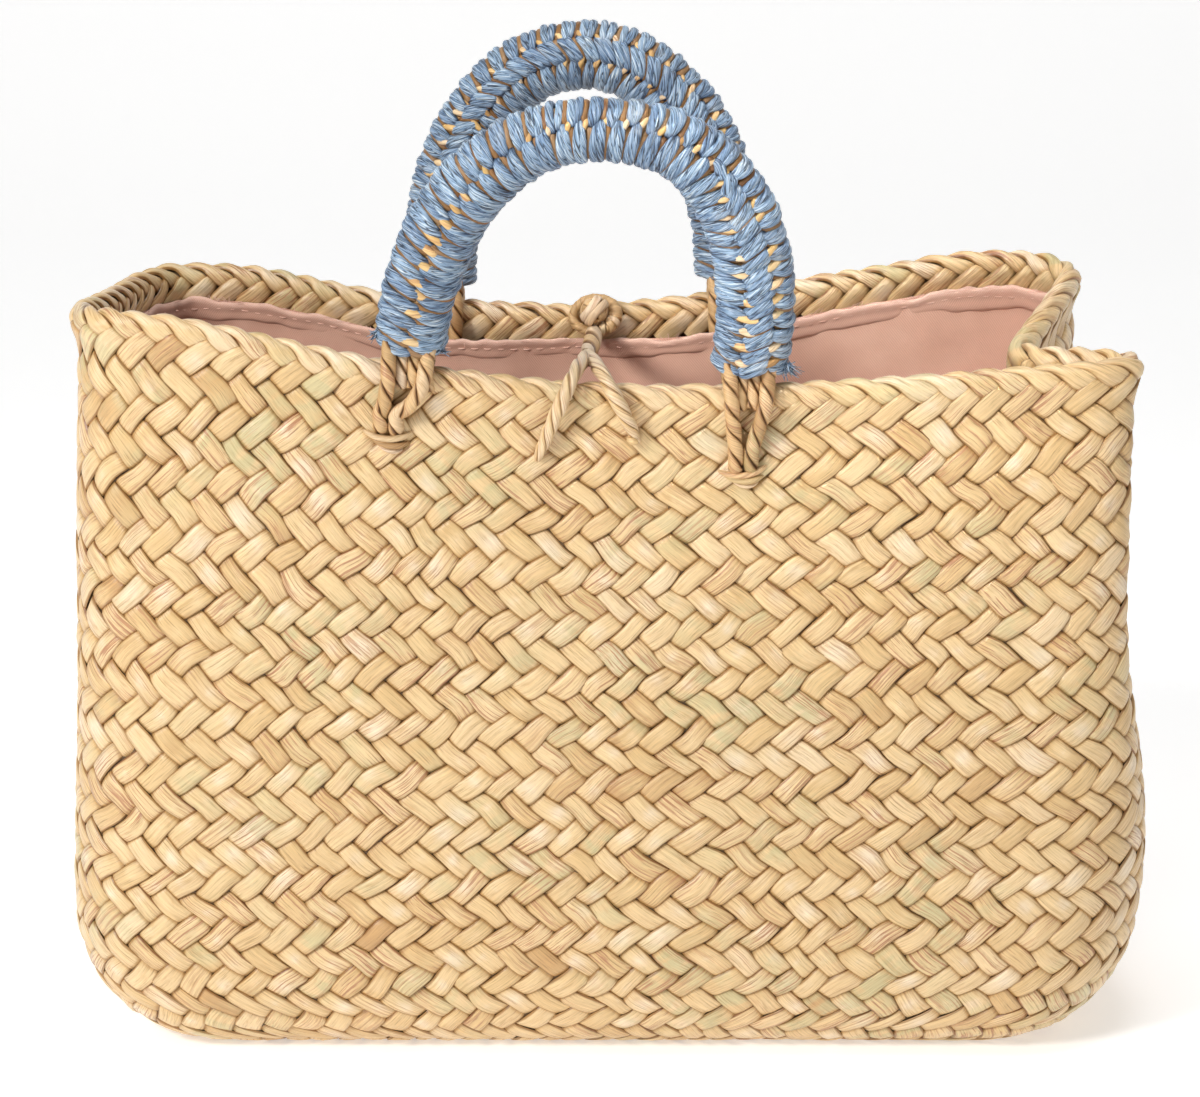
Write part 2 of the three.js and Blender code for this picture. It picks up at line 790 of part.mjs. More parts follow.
// The closing cord: a ring, a short stem and two legs over the front edge into the front wall.
function makeCord() {
  const ringCentre = knotRoot.clone().addScaledVector(knotAxis, ringHeight);
  const ring = new THREE.TorusGeometry(RING_RADIUS, RING_TUBE_RADIUS, CORD_SIDES, RING_STEPS);
  const turn = new THREE.Quaternion().setFromUnitVectors(new THREE.Vector3(0, 0, 1), knotAxis);
  ring.applyQuaternion(turn);
  ring.translate(ringCentre.x, ringCentre.y, ringCentre.z);
  const ringFront = new THREE.Vector3(0, -Math.sin(knotTilt), -Math.cos(knotTilt));
  const start = ringCentre.clone().addScaledVector(ringFront, RING_RADIUS);
  const frontTop = edgeCentre(0).z + edgeReach + CORD_GAP + CORD_RADIUS;
  const join = new THREE.Vector3(
    (CORD_JOIN.x * MOUTH_LENGTH) / 2,
    (CORD_JOIN.y * MOUTH_DEPTH) / 2,
    THREE.MathUtils.lerp(start.z, frontTop, 0.5),
  );
  let cord = toSolid(ring);
  const stem = new THREE.CatmullRomCurve3([
    start,
    start.clone().lerp(join, 0.5).add(new THREE.Vector3(0, 0, -1)),
    join,
  ]);
  cord = cord.add(toSolid(tube(stem, STEM_STEPS, CORD_SIDES, STEM_RADIUS)));
  for (const tip of cordTips) {
    const edgeAround = aroundAtX((tip.edgeX * MOUTH_LENGTH) / 2, -1, 1);
    const edge = edgeCentre(edgeAround);
    const reach = edgeReach + CORD_GAP + CORD_RADIUS;
    const tipX = (tip.x * MOUTH_LENGTH) / 2;
    const over = (degrees, toTip) => {
      const angle = THREE.MathUtils.degToRad(degrees);
      const spot = edge.clone();
      spot.x = THREE.MathUtils.lerp(edge.x, tipX, toTip);
      spot.y -= reach * Math.sin(angle);
      spot.z += reach * Math.cos(angle);
      return spot;
    };
    const outward = CORD_RADIUS + CORD_GAP;
    const beside = THREE.MathUtils.lerp(edge.x, tipX, 0.7);
    const besideAround = aroundAtX(beside, -1, 1);
    const leg = new THREE.CatmullRomCurve3(
      [
        join,
        over(0, 0),
        over(48, 0.18),
        over(90, 0.4),
        wallAt(besideAround, upAtDrop(besideAround, tip.drop * 0.5), -outward - 0.4),
        wallAt(tip.around, upAtDrop(tip.around, tip.drop - 3), -CORD_RADIUS),
        wallAt(tip.around, tip.up, WALL * 0.8),
      ],
      false,
      "centripetal",
    );
    cord = cord.add(toSolid(tube(leg, LEG_STEPS, CORD_SIDES, CORD_RADIUS)));
  }
  return toGeometry(cord);
}
addNode("closing_cord", makeCord(), COLOURS.rope);

export default bag;
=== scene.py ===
"""Looks of the straw basket bag: plaited straw, wrapped handles, lining, ropes and closing cord."""

import functools
import math

import bpy
import numpy as np
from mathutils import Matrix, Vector


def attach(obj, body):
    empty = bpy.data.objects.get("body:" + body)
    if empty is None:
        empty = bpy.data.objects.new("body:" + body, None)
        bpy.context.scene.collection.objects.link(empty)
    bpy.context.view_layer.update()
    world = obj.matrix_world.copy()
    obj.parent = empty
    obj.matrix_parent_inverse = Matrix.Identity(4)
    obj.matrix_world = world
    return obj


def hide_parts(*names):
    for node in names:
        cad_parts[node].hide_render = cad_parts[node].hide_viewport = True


bl_info = {
    "name": "Straw basket bag",
    "version": (1, 0, 0),
    "blender": (4, 5, 0),
    "location": "View3D > Sidebar > Straw bag",
    "description": "Builds the plaited straw, handles, lining and cords of the bag",
    "category": "Object",
}

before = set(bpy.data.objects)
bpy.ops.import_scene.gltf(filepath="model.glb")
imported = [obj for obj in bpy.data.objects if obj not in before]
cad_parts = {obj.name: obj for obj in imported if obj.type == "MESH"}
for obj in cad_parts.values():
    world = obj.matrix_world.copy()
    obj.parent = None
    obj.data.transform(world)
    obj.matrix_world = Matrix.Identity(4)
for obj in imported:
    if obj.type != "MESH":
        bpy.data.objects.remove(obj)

# Lengths below are in millimetres, as in the part; meshes are made in metres.
MM = 0.001

BODY_LENGTH = 425
BODY_DEPTH = 156
MOUTH_LENGTH = 399
MOUTH_DEPTH = 138
WALL_HEIGHT = 261
WALL = 3
CORNER_RADIUS = 48
TURN_HEIGHT = 52
TURN_INSET_ENDS = 46
TURN_INSET_SIDES = 26
TURN_SHARE = 0.22
FOLD_START = 0.24
FOLD_POWER = 1.25
EDGE_HEIGHT = 10.6
EDGE_THICKNESS = 10
EDGE_GAP = 0.35
LINING_TOP = 0.993
LINING_GAP = 1.85
LINING_BULGE = 8
FLOOR_GAP = 0.65
BULGE_AROUND = 0.034
BULGE_TALL = 0.24
FOOT_LIFT = 8
ROPE_RADIUS = 2.5
ROPE_SPREAD = 7.2
ROPE_FOOT_OUT = 7
ROPE_HOLE_SPREAD = 2.9
ROPE_RISE = 4.5
ROPE_GAP = 1.15
SEAT_GAP = 0.3
CORD_RADIUS = 3.1
STEM_RADIUS = 3.6
CORD_GAP = 1.1
KNOT_GAP = 1
RING_RADIUS = 8.6
RING_TUBE_RADIUS = 2.6
KNOT_RADIUS = 6
KNOT_FLATNESS = 0.85
KNOT_TILT = 25
KNOT_X = -0.022
CORD_JOIN = (-0.034, -0.14)

# Stations round the mouth: shares of half its length and depth, and the rise in wall heights.
MOUTH = np.array(
    [
        (0.0, -1.0, 0.0),
        (0.42, -1.0, 0.004),
        (0.78, -1.0, 0.024),
        (0.94, -0.985, 0.034),
        (1.0, -0.86, 0.036),
        (0.975, -0.71, 0.034),
        (0.905, -0.58, 0.03),
        (0.845, -0.46, 0.026),
        (0.815, -0.28, 0.024),
        (0.835, -0.08, 0.03),
        (0.885, 0.2, 0.055),
        (0.935, 0.5, 0.08),
        (0.955, 0.74, 0.09),
        (0.9, 0.94, 0.098),
        (0.77, 1.0, 0.098),
        (0.45, 1.0, 0.06),
        (0.0, 1.0, 0.015),
        (-0.42, 1.0, 0.03),
        (-0.76, 1.0, 0.076),
        (-0.9, 0.93, 0.08),
        (-0.95, 0.68, 0.08),
        (-0.985, 0.0, 0.086),
        (-1.0, -0.68, 0.1),
        (-0.94, -0.94, 0.106),
        (-0.78, -1.0, 0.094),
        (-0.42, -1.0, 0.036),
    ]
)
BACK_STATION = 16
STATION_STEPS = 24

# Soft dents: share round, share of the height, reach round and up, and depth as a share.
DENTS = (
    (0.03, 0.45, 0.1, 0.28, 0.022),
    (0.9, 0.6, 0.05, 0.18, -0.012),
    (0.5, 0.5, 0.12, 0.25, 0.02),
    (0.39, 0.35, 0.05, 0.2, -0.014),
    (0.75, 0.62, 0.05, 0.22, -0.03),
    (0.21, 0.44, 0.04, 0.2, 0.05),
    (0.66, 0.28, 0.06, 0.2, 0.012),
)

# side, feet as shares, lean in degrees, rise, bend of the arch and sway.
HANDLES = {
    "front": dict(side=-1, left=-0.366, right=0.27, lean=17, rise=93, bend=2.25, sway=0.07),
    "back": dict(side=1, left=-0.342, right=0.262, lean=-5, rise=93, bend=2.05, sway=0.01),
}

# Share along a handle, thickness in its plane and thickness across it.
HANDLE_THICKNESS = {
    "front": ((0, 27, 21), (0.2, 28, 21), (0.5, 23.5, 21), (0.8, 29, 21), (1, 29, 21)),
    "back": ((0, 30, 21), (0.2, 31, 21), (0.5, 28, 22), (0.8, 30, 21), (1, 30, 21)),
}

# Share along a handle, and the angles in degrees of the lower and upper ridge of its wrapping,
# from the middle of its outer face towards the outside of the arch.
RIDGES = {
    "front": ((0, 2, 2), (0.25, 10, 10), (0.5, 38, 38), (0.62, 30, 34), (0.75, -16, 34), (1, -20, 32)),
    "back": ((0, 8, 8), (0.3, 0, 34), (0.5, -4, 44), (0.7, -10, 44), (1, -10, 34)),
}

# handle, foot, shift of its rope hole along X, and drop of the hole below the wall top.
FEET = (
    ("front", "left", -8, 12),
    ("front", "right", -2, 18),
    ("back", "left", 3, 20),
    ("back", "right", -3, 20),
)

# Strips round the mouth.
COLUMNS = 88

# Line of a strand of the edge and of the strips below it inside: columns along, millimetres down
# from the wall top, height over the skin and half width as a share.
EDGE_STRAND = (
    (-1.06, -24.6, -1.5, 0.85),
    (-0.85, -22.4, -0.2, 0.95),
    (-0.35, -17.5, 0.95, 1.0),
    (-0.08, -15.1, 1.8, 0.74),
    (0.3, -13.0, 2.2, 0.7),
    (0.64, -10.5, 1.4, 0.88),
    (0.95, -7.2, 1.0, 1.12),
    (1.25, -4.3, 0.25, 1.0),
    (1.46, -2.2, -1.3, 0.85),
)
EDGE_LOWER = (
    (-0.28, -33.2, 0.3, 0.95),
    (-0.85, -27.6, 1.15, 1.05),
    (-1.28, -23.2, -0.1, 0.95),
    (-1.48, -21.2, -1.6, 0.85),
)

# Strips that go down to the right (1) and to the left (0): their way aside, and the start of
# their rows and columns.
LATTICE = {1: (1, 0.5, 0.25), 0: (-1, 2.5, -0.25)}

# Shares along and across a strip, with the steps close together near its ends and edges, and the
# half sizes of a strip in millimetres, for its map.
STRIP_ALONG = (-1.2, -1.07, -0.96, -0.84, -0.6, -0.2, 0.2, 0.6, 0.84, 0.96, 1.07, 1.2)
STRIP_ACROSS = (-1.02, -0.96, -0.55, 0, 0.55, 0.96, 1.02)
STRIP_HALF_LENGTH = 7.8
STRIP_HALF_WIDTH = 3.9

# Colours that whole lines of strips share, width of a column of the base in millimetres, points
# along a strand of the edge, and the looks of the dark layers under the strips, which are painted
# shade that shows in the gaps of the plait.
LINE_COUNT = 4096
BASE_COLUMN = 12.2
EDGE_ROWS = 22
UNDER_VALUES = {"tone": 0.5, "green": 0.3, "brown": 0.4, "tuck": 0.2}

# Length round the lining in millimetres, for its map.
LINING_LENGTH = 1060

# Profile of the hem: drop and height over the cloth in millimetres, paleness, and painted shade in
# the crease below the roll and at its lower edge.
HEM_PROFILE = (
    (3.0, 0.4, 1, 0),
    (1.0, 0.4, 1, 0),
    (0.3, 0.8, 1, 0),
    (0.0, 1.4, 0.95, 0),
    (0.3, 2.1, 0.75, 0),
    (1.2, 2.5, 0.5, 0.05),
    (2.4, 2.2, 0.2, 0.12),
    (3.4, 1.75, 0, 0.2),
    (4.8, 1.7, 0, 0.05),
    (6.3, 1.55, 0, 0.08),
    (7.3, 1.0, 0, 0.2),
    (7.6, 0.3, 0, 0.35),
)

# Points along a strand of a handle's wrapping, and how much deeper the straw lies than the raffia.
WRAP_STEPS = 18
STRAW_DEPTH = 1.15

# Loose ends: share along the front handle, degrees round it, count, direction and length.
FRAYS = (
    (0.018, 80, 24, (-0.75, -0.25, -0.62), 3.6),
    (0.008, -62, 10, (0.9, -0.2, -0.35), 4.0),
    (0.985, 70, 44, (0.5, -0.35, -0.75), 5.6),
)

# Strands between the ropes: shift along the handle at the top, shift along X at the edge, and
# distance out from the middle at the top and at the edge.
INNER_STRANDS = (
    (-2.6, -3.4, 3.0, 5.2),
    (2.4, 1.2, 3.4, 5.6),
    (-1.0, -1.4, -3.2, -5.0),
    (6.2, 6.8, 0.5, 4.6),
)

# Strips under a rope hole: distance below it, half length, height, slant and half width.
HOLE_BARS = ((4.4, 9.0, 1.7, -0.9, 1.9), (6.6, 7.6, 1.5, 0.7, 1.9), (8.4, 5.5, 0.9, 1.6, 1.3))

# Bands of the knot: turn of the band, lean, shift from the middle and loss of radius.
KNOT_BANDS = (
    (2.3, 0.1, -3.1, 1.5),
    (2.35, 0.0, 0.4, 1.35),
    (2.25, -0.1, 3.3, 1.6),
    (0.95, 0.12, -1.9, 0.55),
    (0.85, 0.05, 1.6, 0.35),
    (0.75, 1.45, 0, 1.2),
)
ACROSS = np.array([1.0, 0, 0])

# Kinds of straw: name, gloss, pale, mid, dark, green and streak colour.
STREAK = (0.42, 0.19, 0.09)
STRAWS = {
    "weave": (
        "plaited_straw",
        0.32,
        (0.73, 0.53, 0.285),
        (0.655, 0.45, 0.214),
        (0.53, 0.317, 0.133),
        (0.54, 0.48, 0.26),
        STREAK,
    ),
    "rope": (
        "twisted_straw",
        0.42,
        (0.68, 0.46, 0.235),
        (0.56, 0.36, 0.165),
        (0.4, 0.23, 0.095),
        (0.45, 0.37, 0.17),
        STREAK,
    ),
    "core": (
        "golden_straw",
        0.4,
        (0.78, 0.53, 0.24),
        (0.68, 0.43, 0.16),
        (0.42, 0.23, 0.08),
        (0.5, 0.36, 0.12),
        STREAK,
    ),
    # Painted shade, not a straw: the near-black layers under the plait that show in its gaps.
    "under": (
        "painted_shade_straw",
        0.6,
        (0.13, 0.075, 0.03),
        (0.1, 0.055, 0.022),
        (0.06, 0.03, 0.013),
        (0.08, 0.06, 0.02),
        (0.04, 0.018, 0.01),
    ),
}

# Degrees that the camera looks down by, the light of the lamps, and what the seeds are for.
CAMERA_RISE = 15.5
WARM = (1, 0.985, 0.96)
SEED_TEXT = "Start of the random numbers"

# Tips of the closing cord: share along the wall, share at the edge, drop below the wall top.
CORD_TIPS = ((-0.128, -0.078, 19), (0.062, 0.002, 10))


# Surfaces of the body


def smooth_step(at):
    """The cubic step of at, held between 0 and 1."""
    at = np.clip(at, 0, 1)
    return at * at * (3 - 2 * at)


def normalised(vectors):
    """The same directions at length 1."""
    return vectors / np.linalg.norm(vectors, axis=-1, keepdims=True)


def catmull_rom(points, closed, steps):
    """A centripetal Catmull-Rom line through points with that many steps a span."""
    points = np.asarray(points, float)
    count = len(points)
    spans = count if closed else count - 1
    if closed:
        ring = points[np.arange(-1, count + 2) % count]
    else:
        first = 2 * points[0] - points[1]
        last = 2 * points[-1] - points[-2]
        ring = np.vstack([first, points, last])
    before, start, end, after = (ring[i : i + spans] for i in range(4))
    d0 = np.linalg.norm(start - before, axis=1, keepdims=True) ** 0.5
    d1 = np.linalg.norm(end - start, axis=1, keepdims=True) ** 0.5
    d2 = np.linalg.norm(after - end, axis=1, keepdims=True) ** 0.5
    slope0 = ((start - before) / d0 - (end - before) / (d0 + d1) + (end - start) / d1) * d1
    slope1 = ((end - start) / d1 - (after - start) / (d1 + d2) + (after - end) / d2) * d1
    at = (np.arange(steps) / steps)[None, :, None]
    square = -3 * start + 3 * end - 2 * slope0 - slope1
    cube = 2 * start - 2 * end + slope0 + slope1
    line = start[:, None] + slope0[:, None] * at + square[:, None] * at**2 + cube[:, None] * at**3
    line = line.reshape(-1, points.shape[1])
    tail = points[:1] if closed else points[-1:]
    return np.vstack([line, tail])


def run_of(line):
    """Length run along a line, or along each of several, at each of its points."""
    steps = np.linalg.norm(np.diff(line, axis=-2), axis=-1)
    return np.concatenate([np.zeros_like(steps[..., :1]), np.cumsum(steps, axis=-1)], axis=-1)


def along_line(line, shares):
    """Points at shares of a line's length."""
    run = run_of(line)
    want = np.asarray(shares) * run[-1]
    return np.stack([np.interp(want, run, line[:, i]) for i in range(line.shape[1])], -1)


def trace_mouth():
    """The mouth line and the share of the way round of each of its points."""
    line = catmull_rom(MOUTH * (MOUTH_LENGTH / 2, MOUTH_DEPTH / 2, WALL_HEIGHT), True, STATION_STEPS)
    run = run_of(line)
    half = BACK_STATION * STATION_STEPS
    front = 0.5 * run / run[half]
    back = 0.5 + 0.5 * (run - run[half]) / (run[-1] - run[half])
    return line, np.where(np.arange(len(run)) <= half, front, back)


MOUTH_LINE, MOUTH_SHARES = trace_mouth()


def mouth_at(around):
    """Points of the mouth line at shares of the way round."""
    return np.stack([np.interp(around, MOUTH_SHARES, MOUTH_LINE[:, i]) for i in range(3)], -1)


def rounded_outline(around, half_length, half_depth, radius):
    """A rounded rectangle by the share of the way round, from the middle of the front."""
    front = half_length - radius
    end = half_depth - radius
    arc = np.pi / 2 * radius
    quarter = front + arc + end
    quadrant = np.floor(around * 4) % 4
    run = (around * 4 - np.floor(around * 4)) * quarter
    run = np.where(quadrant % 2 == 1, quarter - run, run)
    angle = np.clip((run - front) / radius, 0, np.pi / 2)
    x = np.where(run <= front, run, front + radius * np.sin(angle))
    y = end + radius * np.cos(angle)
    past = run > front + arc
    x = np.where(past, half_length, x)
    y = np.where(past, quarter - run, y)
    return np.stack([np.where(quadrant < 2, x, -x), np.where((quadrant == 1) | (quadrant == 2), y, -y)], -1)


def away_from(around, place):
    """Signed share of the way round from a place, by the short way."""
    return (around - place + 0.5) % 1 - 0.5


def outside_at(around, up):
    """Outer face of the wall; up is 0 at the edge of the flat base and 1 at the wall top."""
    around, up = np.broadcast_arrays(np.asarray(around, float) % 1, np.asarray(up, float))
    angle = np.pi / 2 * np.clip(up / TURN_SHARE, 0, 1)
    inset = 1 - np.sin(angle)
    turn = TURN_HEIGHT / WALL_HEIGHT
    height = np.where(
        up < TURN_SHARE,
        turn * (1 - np.cos(angle)),
        turn + (1 - turn) * (up - TURN_SHARE) / (1 - TURN_SHARE),
    )
    low = rounded_outline(
        around,
        BODY_LENGTH / 2 - TURN_INSET_ENDS * inset,
        BODY_DEPTH / 2 - TURN_INSET_SIDES * inset,
        CORNER_RADIUS - TURN_INSET_SIDES * inset,
    )
    mouth = mouth_at(around)
    folded = np.clip((height - FOLD_START) / (1 - FOLD_START), 0, None) ** FOLD_POWER
    push = 0
    for place, middle, wide, tall, out in DENTS:
        reach = (away_from(around, place) / wide) ** 2 + ((height - middle) / tall) ** 2
        push = push + out * BODY_DEPTH * np.exp(-reach)
    push = push * (1 - inset) * (1 - folded)
    low = low * (1 + (push / np.linalg.norm(low, axis=-1)))[..., None]
    flat = low + (mouth[..., :2] - low) * folded[..., None]
    z = height * WALL_HEIGHT + mouth[..., 2] * height**2
    return np.concatenate([flat, z[..., None]], -1)


def normal_at(around, up):
    """Outward direction of the wall."""
    step = 0.0005
    along = outside_at(around + step, up) - outside_at(around - step, up)
    rise = outside_at(around, np.minimum(up + step, 1)) - outside_at(around, np.maximum(up - step, 0))
    return normalised(np.cross(along, rise))


def wall_at(around, up, inward):
    """A point at a distance inside the outer face of the wall."""
    return outside_at(around, up) - normal_at(around, up) * np.asarray(inward, float)[..., None]


def around_at_x(x, side, up):
    """Shares of the way round where the wall stands at x on the front or the back."""
    shares = np.linspace(-0.2, 0.2, 801) if side < 0 else np.linspace(0.7, 0.3, 801)
    return np.interp(x, outside_at(shares, up)[:, 0], shares) % 1


def up_at_drop(around, drop):
    """The share up the wall that is a drop below the wall top."""
    ups = np.linspace(1, TURN_SHARE, 400)
    below = outside_at(around, 1)[2] - outside_at(around, ups)[:, 2]
    return float(np.interp(drop, below, ups))


def edge_centre(around):
    """Middle line of the plaited edge."""
    around = np.asarray(around, float)
    centre = wall_at(around, np.ones_like(around), np.full_like(around, WALL / 2))
    outer = outside_at(around, 1)[..., 2]
    inner = wall_at(around, np.ones_like(around), np.full_like(around, WALL))[..., 2]
    centre[..., 2] = np.maximum(outer, inner) + EDGE_GAP + EDGE_HEIGHT / 2
    return centre


def drop_table():
    """Distance run down the wall from its top, and the share up the wall at that distance."""
    ups = np.linspace(1, 0, 401)
    return run_of(outside_at(0.0, ups)), ups


DROP_RUN, DROP_UPS = drop_table()


def edge_frame(around):
    """Middle line of the edge, and its outward and upward directions."""
    around = np.asarray(around, float)
    step = 0.0008
    tangent = normalised(edge_centre(around + step) - edge_centre(around - step))
    outward = normalised(np.stack([tangent[..., 1], -tangent[..., 0], 0 * tangent[..., 0]], -1))
    return edge_centre(around), outward, np.cross(outward, tangent)


# The skin of the plait: height of the edge's middle over the wall top, mean radius round it,
# and how far the skin lies inside the edge's solid.
EDGE_MIDDLE = EDGE_GAP + EDGE_HEIGHT / 2
SKIN_ARC = 5.4
SKIN_INSET = 0.55


def face_at(around, drop, depth):
    """A point inside the wall's outer face at a drop below its top, or straight above the top."""
    point = wall_at(around, np.interp(drop, DROP_RUN, DROP_UPS), depth)
    point[..., 2] += np.clip(-drop, 0, None)
    return point


def skin_at(around, run, height):
    """A point on the skin of the plait: run is the distance down from the wall top. Above the top
    the skin swells over the edge, goes round its crest and down its inner side."""
    around, run, height = np.broadcast_arrays(around, run, height)
    wide = EDGE_THICKNESS / 2 - SKIN_INSET
    swell = smooth_step((4 - run) / (4 + EDGE_MIDDLE))
    outer = face_at(around, np.maximum(run, -EDGE_MIDDLE), -height - (wide - WALL / 2) * swell)
    inner_run = -EDGE_MIDDLE - np.pi * SKIN_ARC - run
    fall = smooth_step(inner_run / 10)
    depth = (WALL / 2 + wide) * (1 - fall) + (WALL + 0.6) * fall + height
    inner = face_at(around, inner_run - EDGE_MIDDLE, depth)
    centre, outward, upward = edge_frame(around)
    angle = np.pi / 2 + (EDGE_MIDDLE + run) / SKIN_ARC
    high = EDGE_HEIGHT / 2 - SKIN_INSET + height
    over = outward * ((wide + height) * np.sin(angle))[..., None] + upward * (high * np.cos(angle))[..., None]
    point = np.where((run < -EDGE_MIDDLE)[..., None], centre + over, outer)
    return np.where((inner_run > 0)[..., None], inner, point)


def drift(x, run, settings):
    """Slow shifts of the plait, in columns and in millimetres, so that no row is quite straight."""
    spot = face_at(x / COLUMNS, np.clip(run, 0, None), 0 * x)
    aside = 0.09 * noise_at(spot, 60, settings.seed) + 0.045 * noise_at(spot, 19, settings.seed + 1)
    down = 1.1 * noise_at(spot, 75, settings.seed + 2) + 0.6 * noise_at(spot, 23, settings.seed + 3)
    return aside, down * smooth_step(run / 20)


def noise_at(points, size, seed, waves=7):
    """Smooth waves of about that size at points, from about -1 to 1."""
    rng = np.random.default_rng(seed)
    total = 0
    for _ in range(waves):
        way = rng.normal(size=3)
        way *= rng.uniform(0.6, 1.5) * 2 * np.pi / (size * np.linalg.norm(way))
        total = total + np.sin(points @ way + rng.uniform(0, 2 * np.pi))
    return total / math.sqrt(waves)


# Meshes


def picker(rng, count):
    """A call that gives each of count strips a number of its own between two."""

    def pick(low, high):
        return rng.uniform(low, high, (count, 1, 1))

    return pick


def add_grids(
    name, points, uv, material, values=None, around=False, along=False, capped=False, flip=False
):
    """One mesh from patches: points is (patch, row, column, 3) in millimetres. around joins the
    last column to the first and along the last row to the first. uv has one more column or row
    there. capped closes the first and last ring of a tube. flip turns the faces round. values
    become point attributes: one number, one for each patch, or a grid of them."""
    patches, rows, columns = points.shape[:3]
    row = np.arange(rows if along else rows - 1)
    column = np.arange(columns if around else columns - 1)
    a, b, c = np.meshgrid(np.arange(patches), row, column, indexing="ij")
    corners = ((0, 0), (1, 0), (1, 1), (0, 1)) if flip else ((0, 0), (0, 1), (1, 1), (1, 0))
    index = [(a * rows + (b + i) % rows) * columns + (c + j) % columns for i, j in corners]
    loop_index = np.stack(index, -1).reshape(-1)
    uv_rows, uv_columns = uv.shape[1:3]
    uv_index = [(a * uv_rows + b + i) * uv_columns + c + j for i, j in corners]
    uv_index = np.stack(uv_index, -1).reshape(-1)
    totals = np.full(len(loop_index) // 4, 4)
    if capped:
        turn = np.arange(columns) if flip else np.arange(columns)[::-1]
        first = np.arange(patches)[:, None] * rows * columns + turn
        last = (np.arange(patches)[:, None] * rows + rows - 1) * columns + turn[::-1]
        ends = np.concatenate([first, last])
        loop_index = np.concatenate([loop_index, ends.reshape(-1)])
        uv_index = np.concatenate([uv_index, np.zeros(ends.size, int)])
        totals = np.concatenate([totals, np.full(len(ends), columns)])
    starts = np.concatenate([[0], np.cumsum(totals)[:-1]])
    mesh = bpy.data.meshes.new(name)
    mesh.vertices.add(patches * rows * columns)
    mesh.vertices.foreach_set("co", (points * MM).astype(np.float32).reshape(-1))
    mesh.loops.add(len(loop_index))
    mesh.loops.foreach_set("vertex_index", loop_index.astype(np.int32))
    mesh.polygons.add(len(totals))
    mesh.polygons.foreach_set("loop_start", starts.astype(np.int32))
    mesh.polygons.foreach_set("loop_total", totals.astype(np.int32))
    mesh.polygons.foreach_set("use_smooth", np.ones(len(totals), bool))
    layer = mesh.uv_layers.new(name="UVMap")
    layer.data.foreach_set("uv", uv.reshape(-1, 2)[uv_index].astype(np.float32).reshape(-1))
    for key, value in (values or {}).items():
        if np.ndim(value) == 1:
            value = np.asarray(value)[:, None, None]
        spread = np.broadcast_to(value, points.shape[:3]).astype(np.float32)
        mesh.attributes.new(key, "FLOAT", "POINT").data.foreach_set("value", spread.reshape(-1))
    mesh.update(calc_edges=True)
    mesh.validate()
    mesh.materials.append(material)
    piece = bpy.data.objects.new(name, mesh)
    bpy.context.scene.collection.objects.link(piece)
    return piece


def finish_piece(piece, slot, *nodes):
    """Joins a piece to the bag's body and hides the nodes that it stands for; slot is not used."""
    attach(piece, "root")
    if nodes:
        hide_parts(*nodes)
    return piece


def sheet_uv(first, second, indexing="xy"):
    """The map of a single patch from the rulers along its two sides."""
    return np.stack(np.meshgrid(first, second, indexing=indexing), -1)[None]


def line_frames(lines, start=(0.0, 0.0, 1.0)):
    """Tangent, side and rise at each point of lines (line, point, 3), turning as little as possible."""
    tangent = normalised(np.gradient(lines, axis=1))
    rise = np.empty_like(tangent)
    now = np.asarray(start, float)
    for i in range(lines.shape[1]):
        now = normalised(now - tangent[:, i] * np.sum(now * tangent[:, i], -1, keepdims=True))
        rise[:, i] = now
    return tangent, np.cross(rise, tangent), rise


def frames_on(lines, up, square=False):
    """Tangent, side and rise at each point of lines. The rise is up, made square to the line if
    asked."""
    tangent = normalised(np.gradient(lines, axis=1))
    side = normalised(np.cross(up, tangent))
    return tangent, side, np.cross(tangent, side) if square else up


def turns_of(sides):
    """Angles of the corners of a ring."""
    return 2 * np.pi * np.arange(sides) / sides


def tube_points(lines, side, rise, wide, thick, sides, shape=1):
    """Rings of a tube round lines: wide and thick are its half sizes along side and rise, and
    shape a factor for each corner of a ring."""
    angle = turns_of(sides)
    wide = np.asarray(wide)[..., None] * np.cos(angle) * shape
    thick = np.asarray(thick)[..., None] * np.sin(angle) * shape
    return lines[:, :, None] + side[:, :, None] * wide[..., None] + rise[:, :, None] * thick[..., None]


def tube_uv(lines, sides, girth, rng, skew=0.0):
    """Map of tubes in millimetres: along the line and round it, with a seeded start for each.
    skew slants the fibres round the tube."""
    run = run_of(lines)[:, :, None]
    start = rng.uniform(0, 500, (len(lines), 1, 1))
    across = np.arange(sides + 1) / sides * girth
    return np.stack([run + start + 0 * across, across + start + skew * run], -1)


# Materials


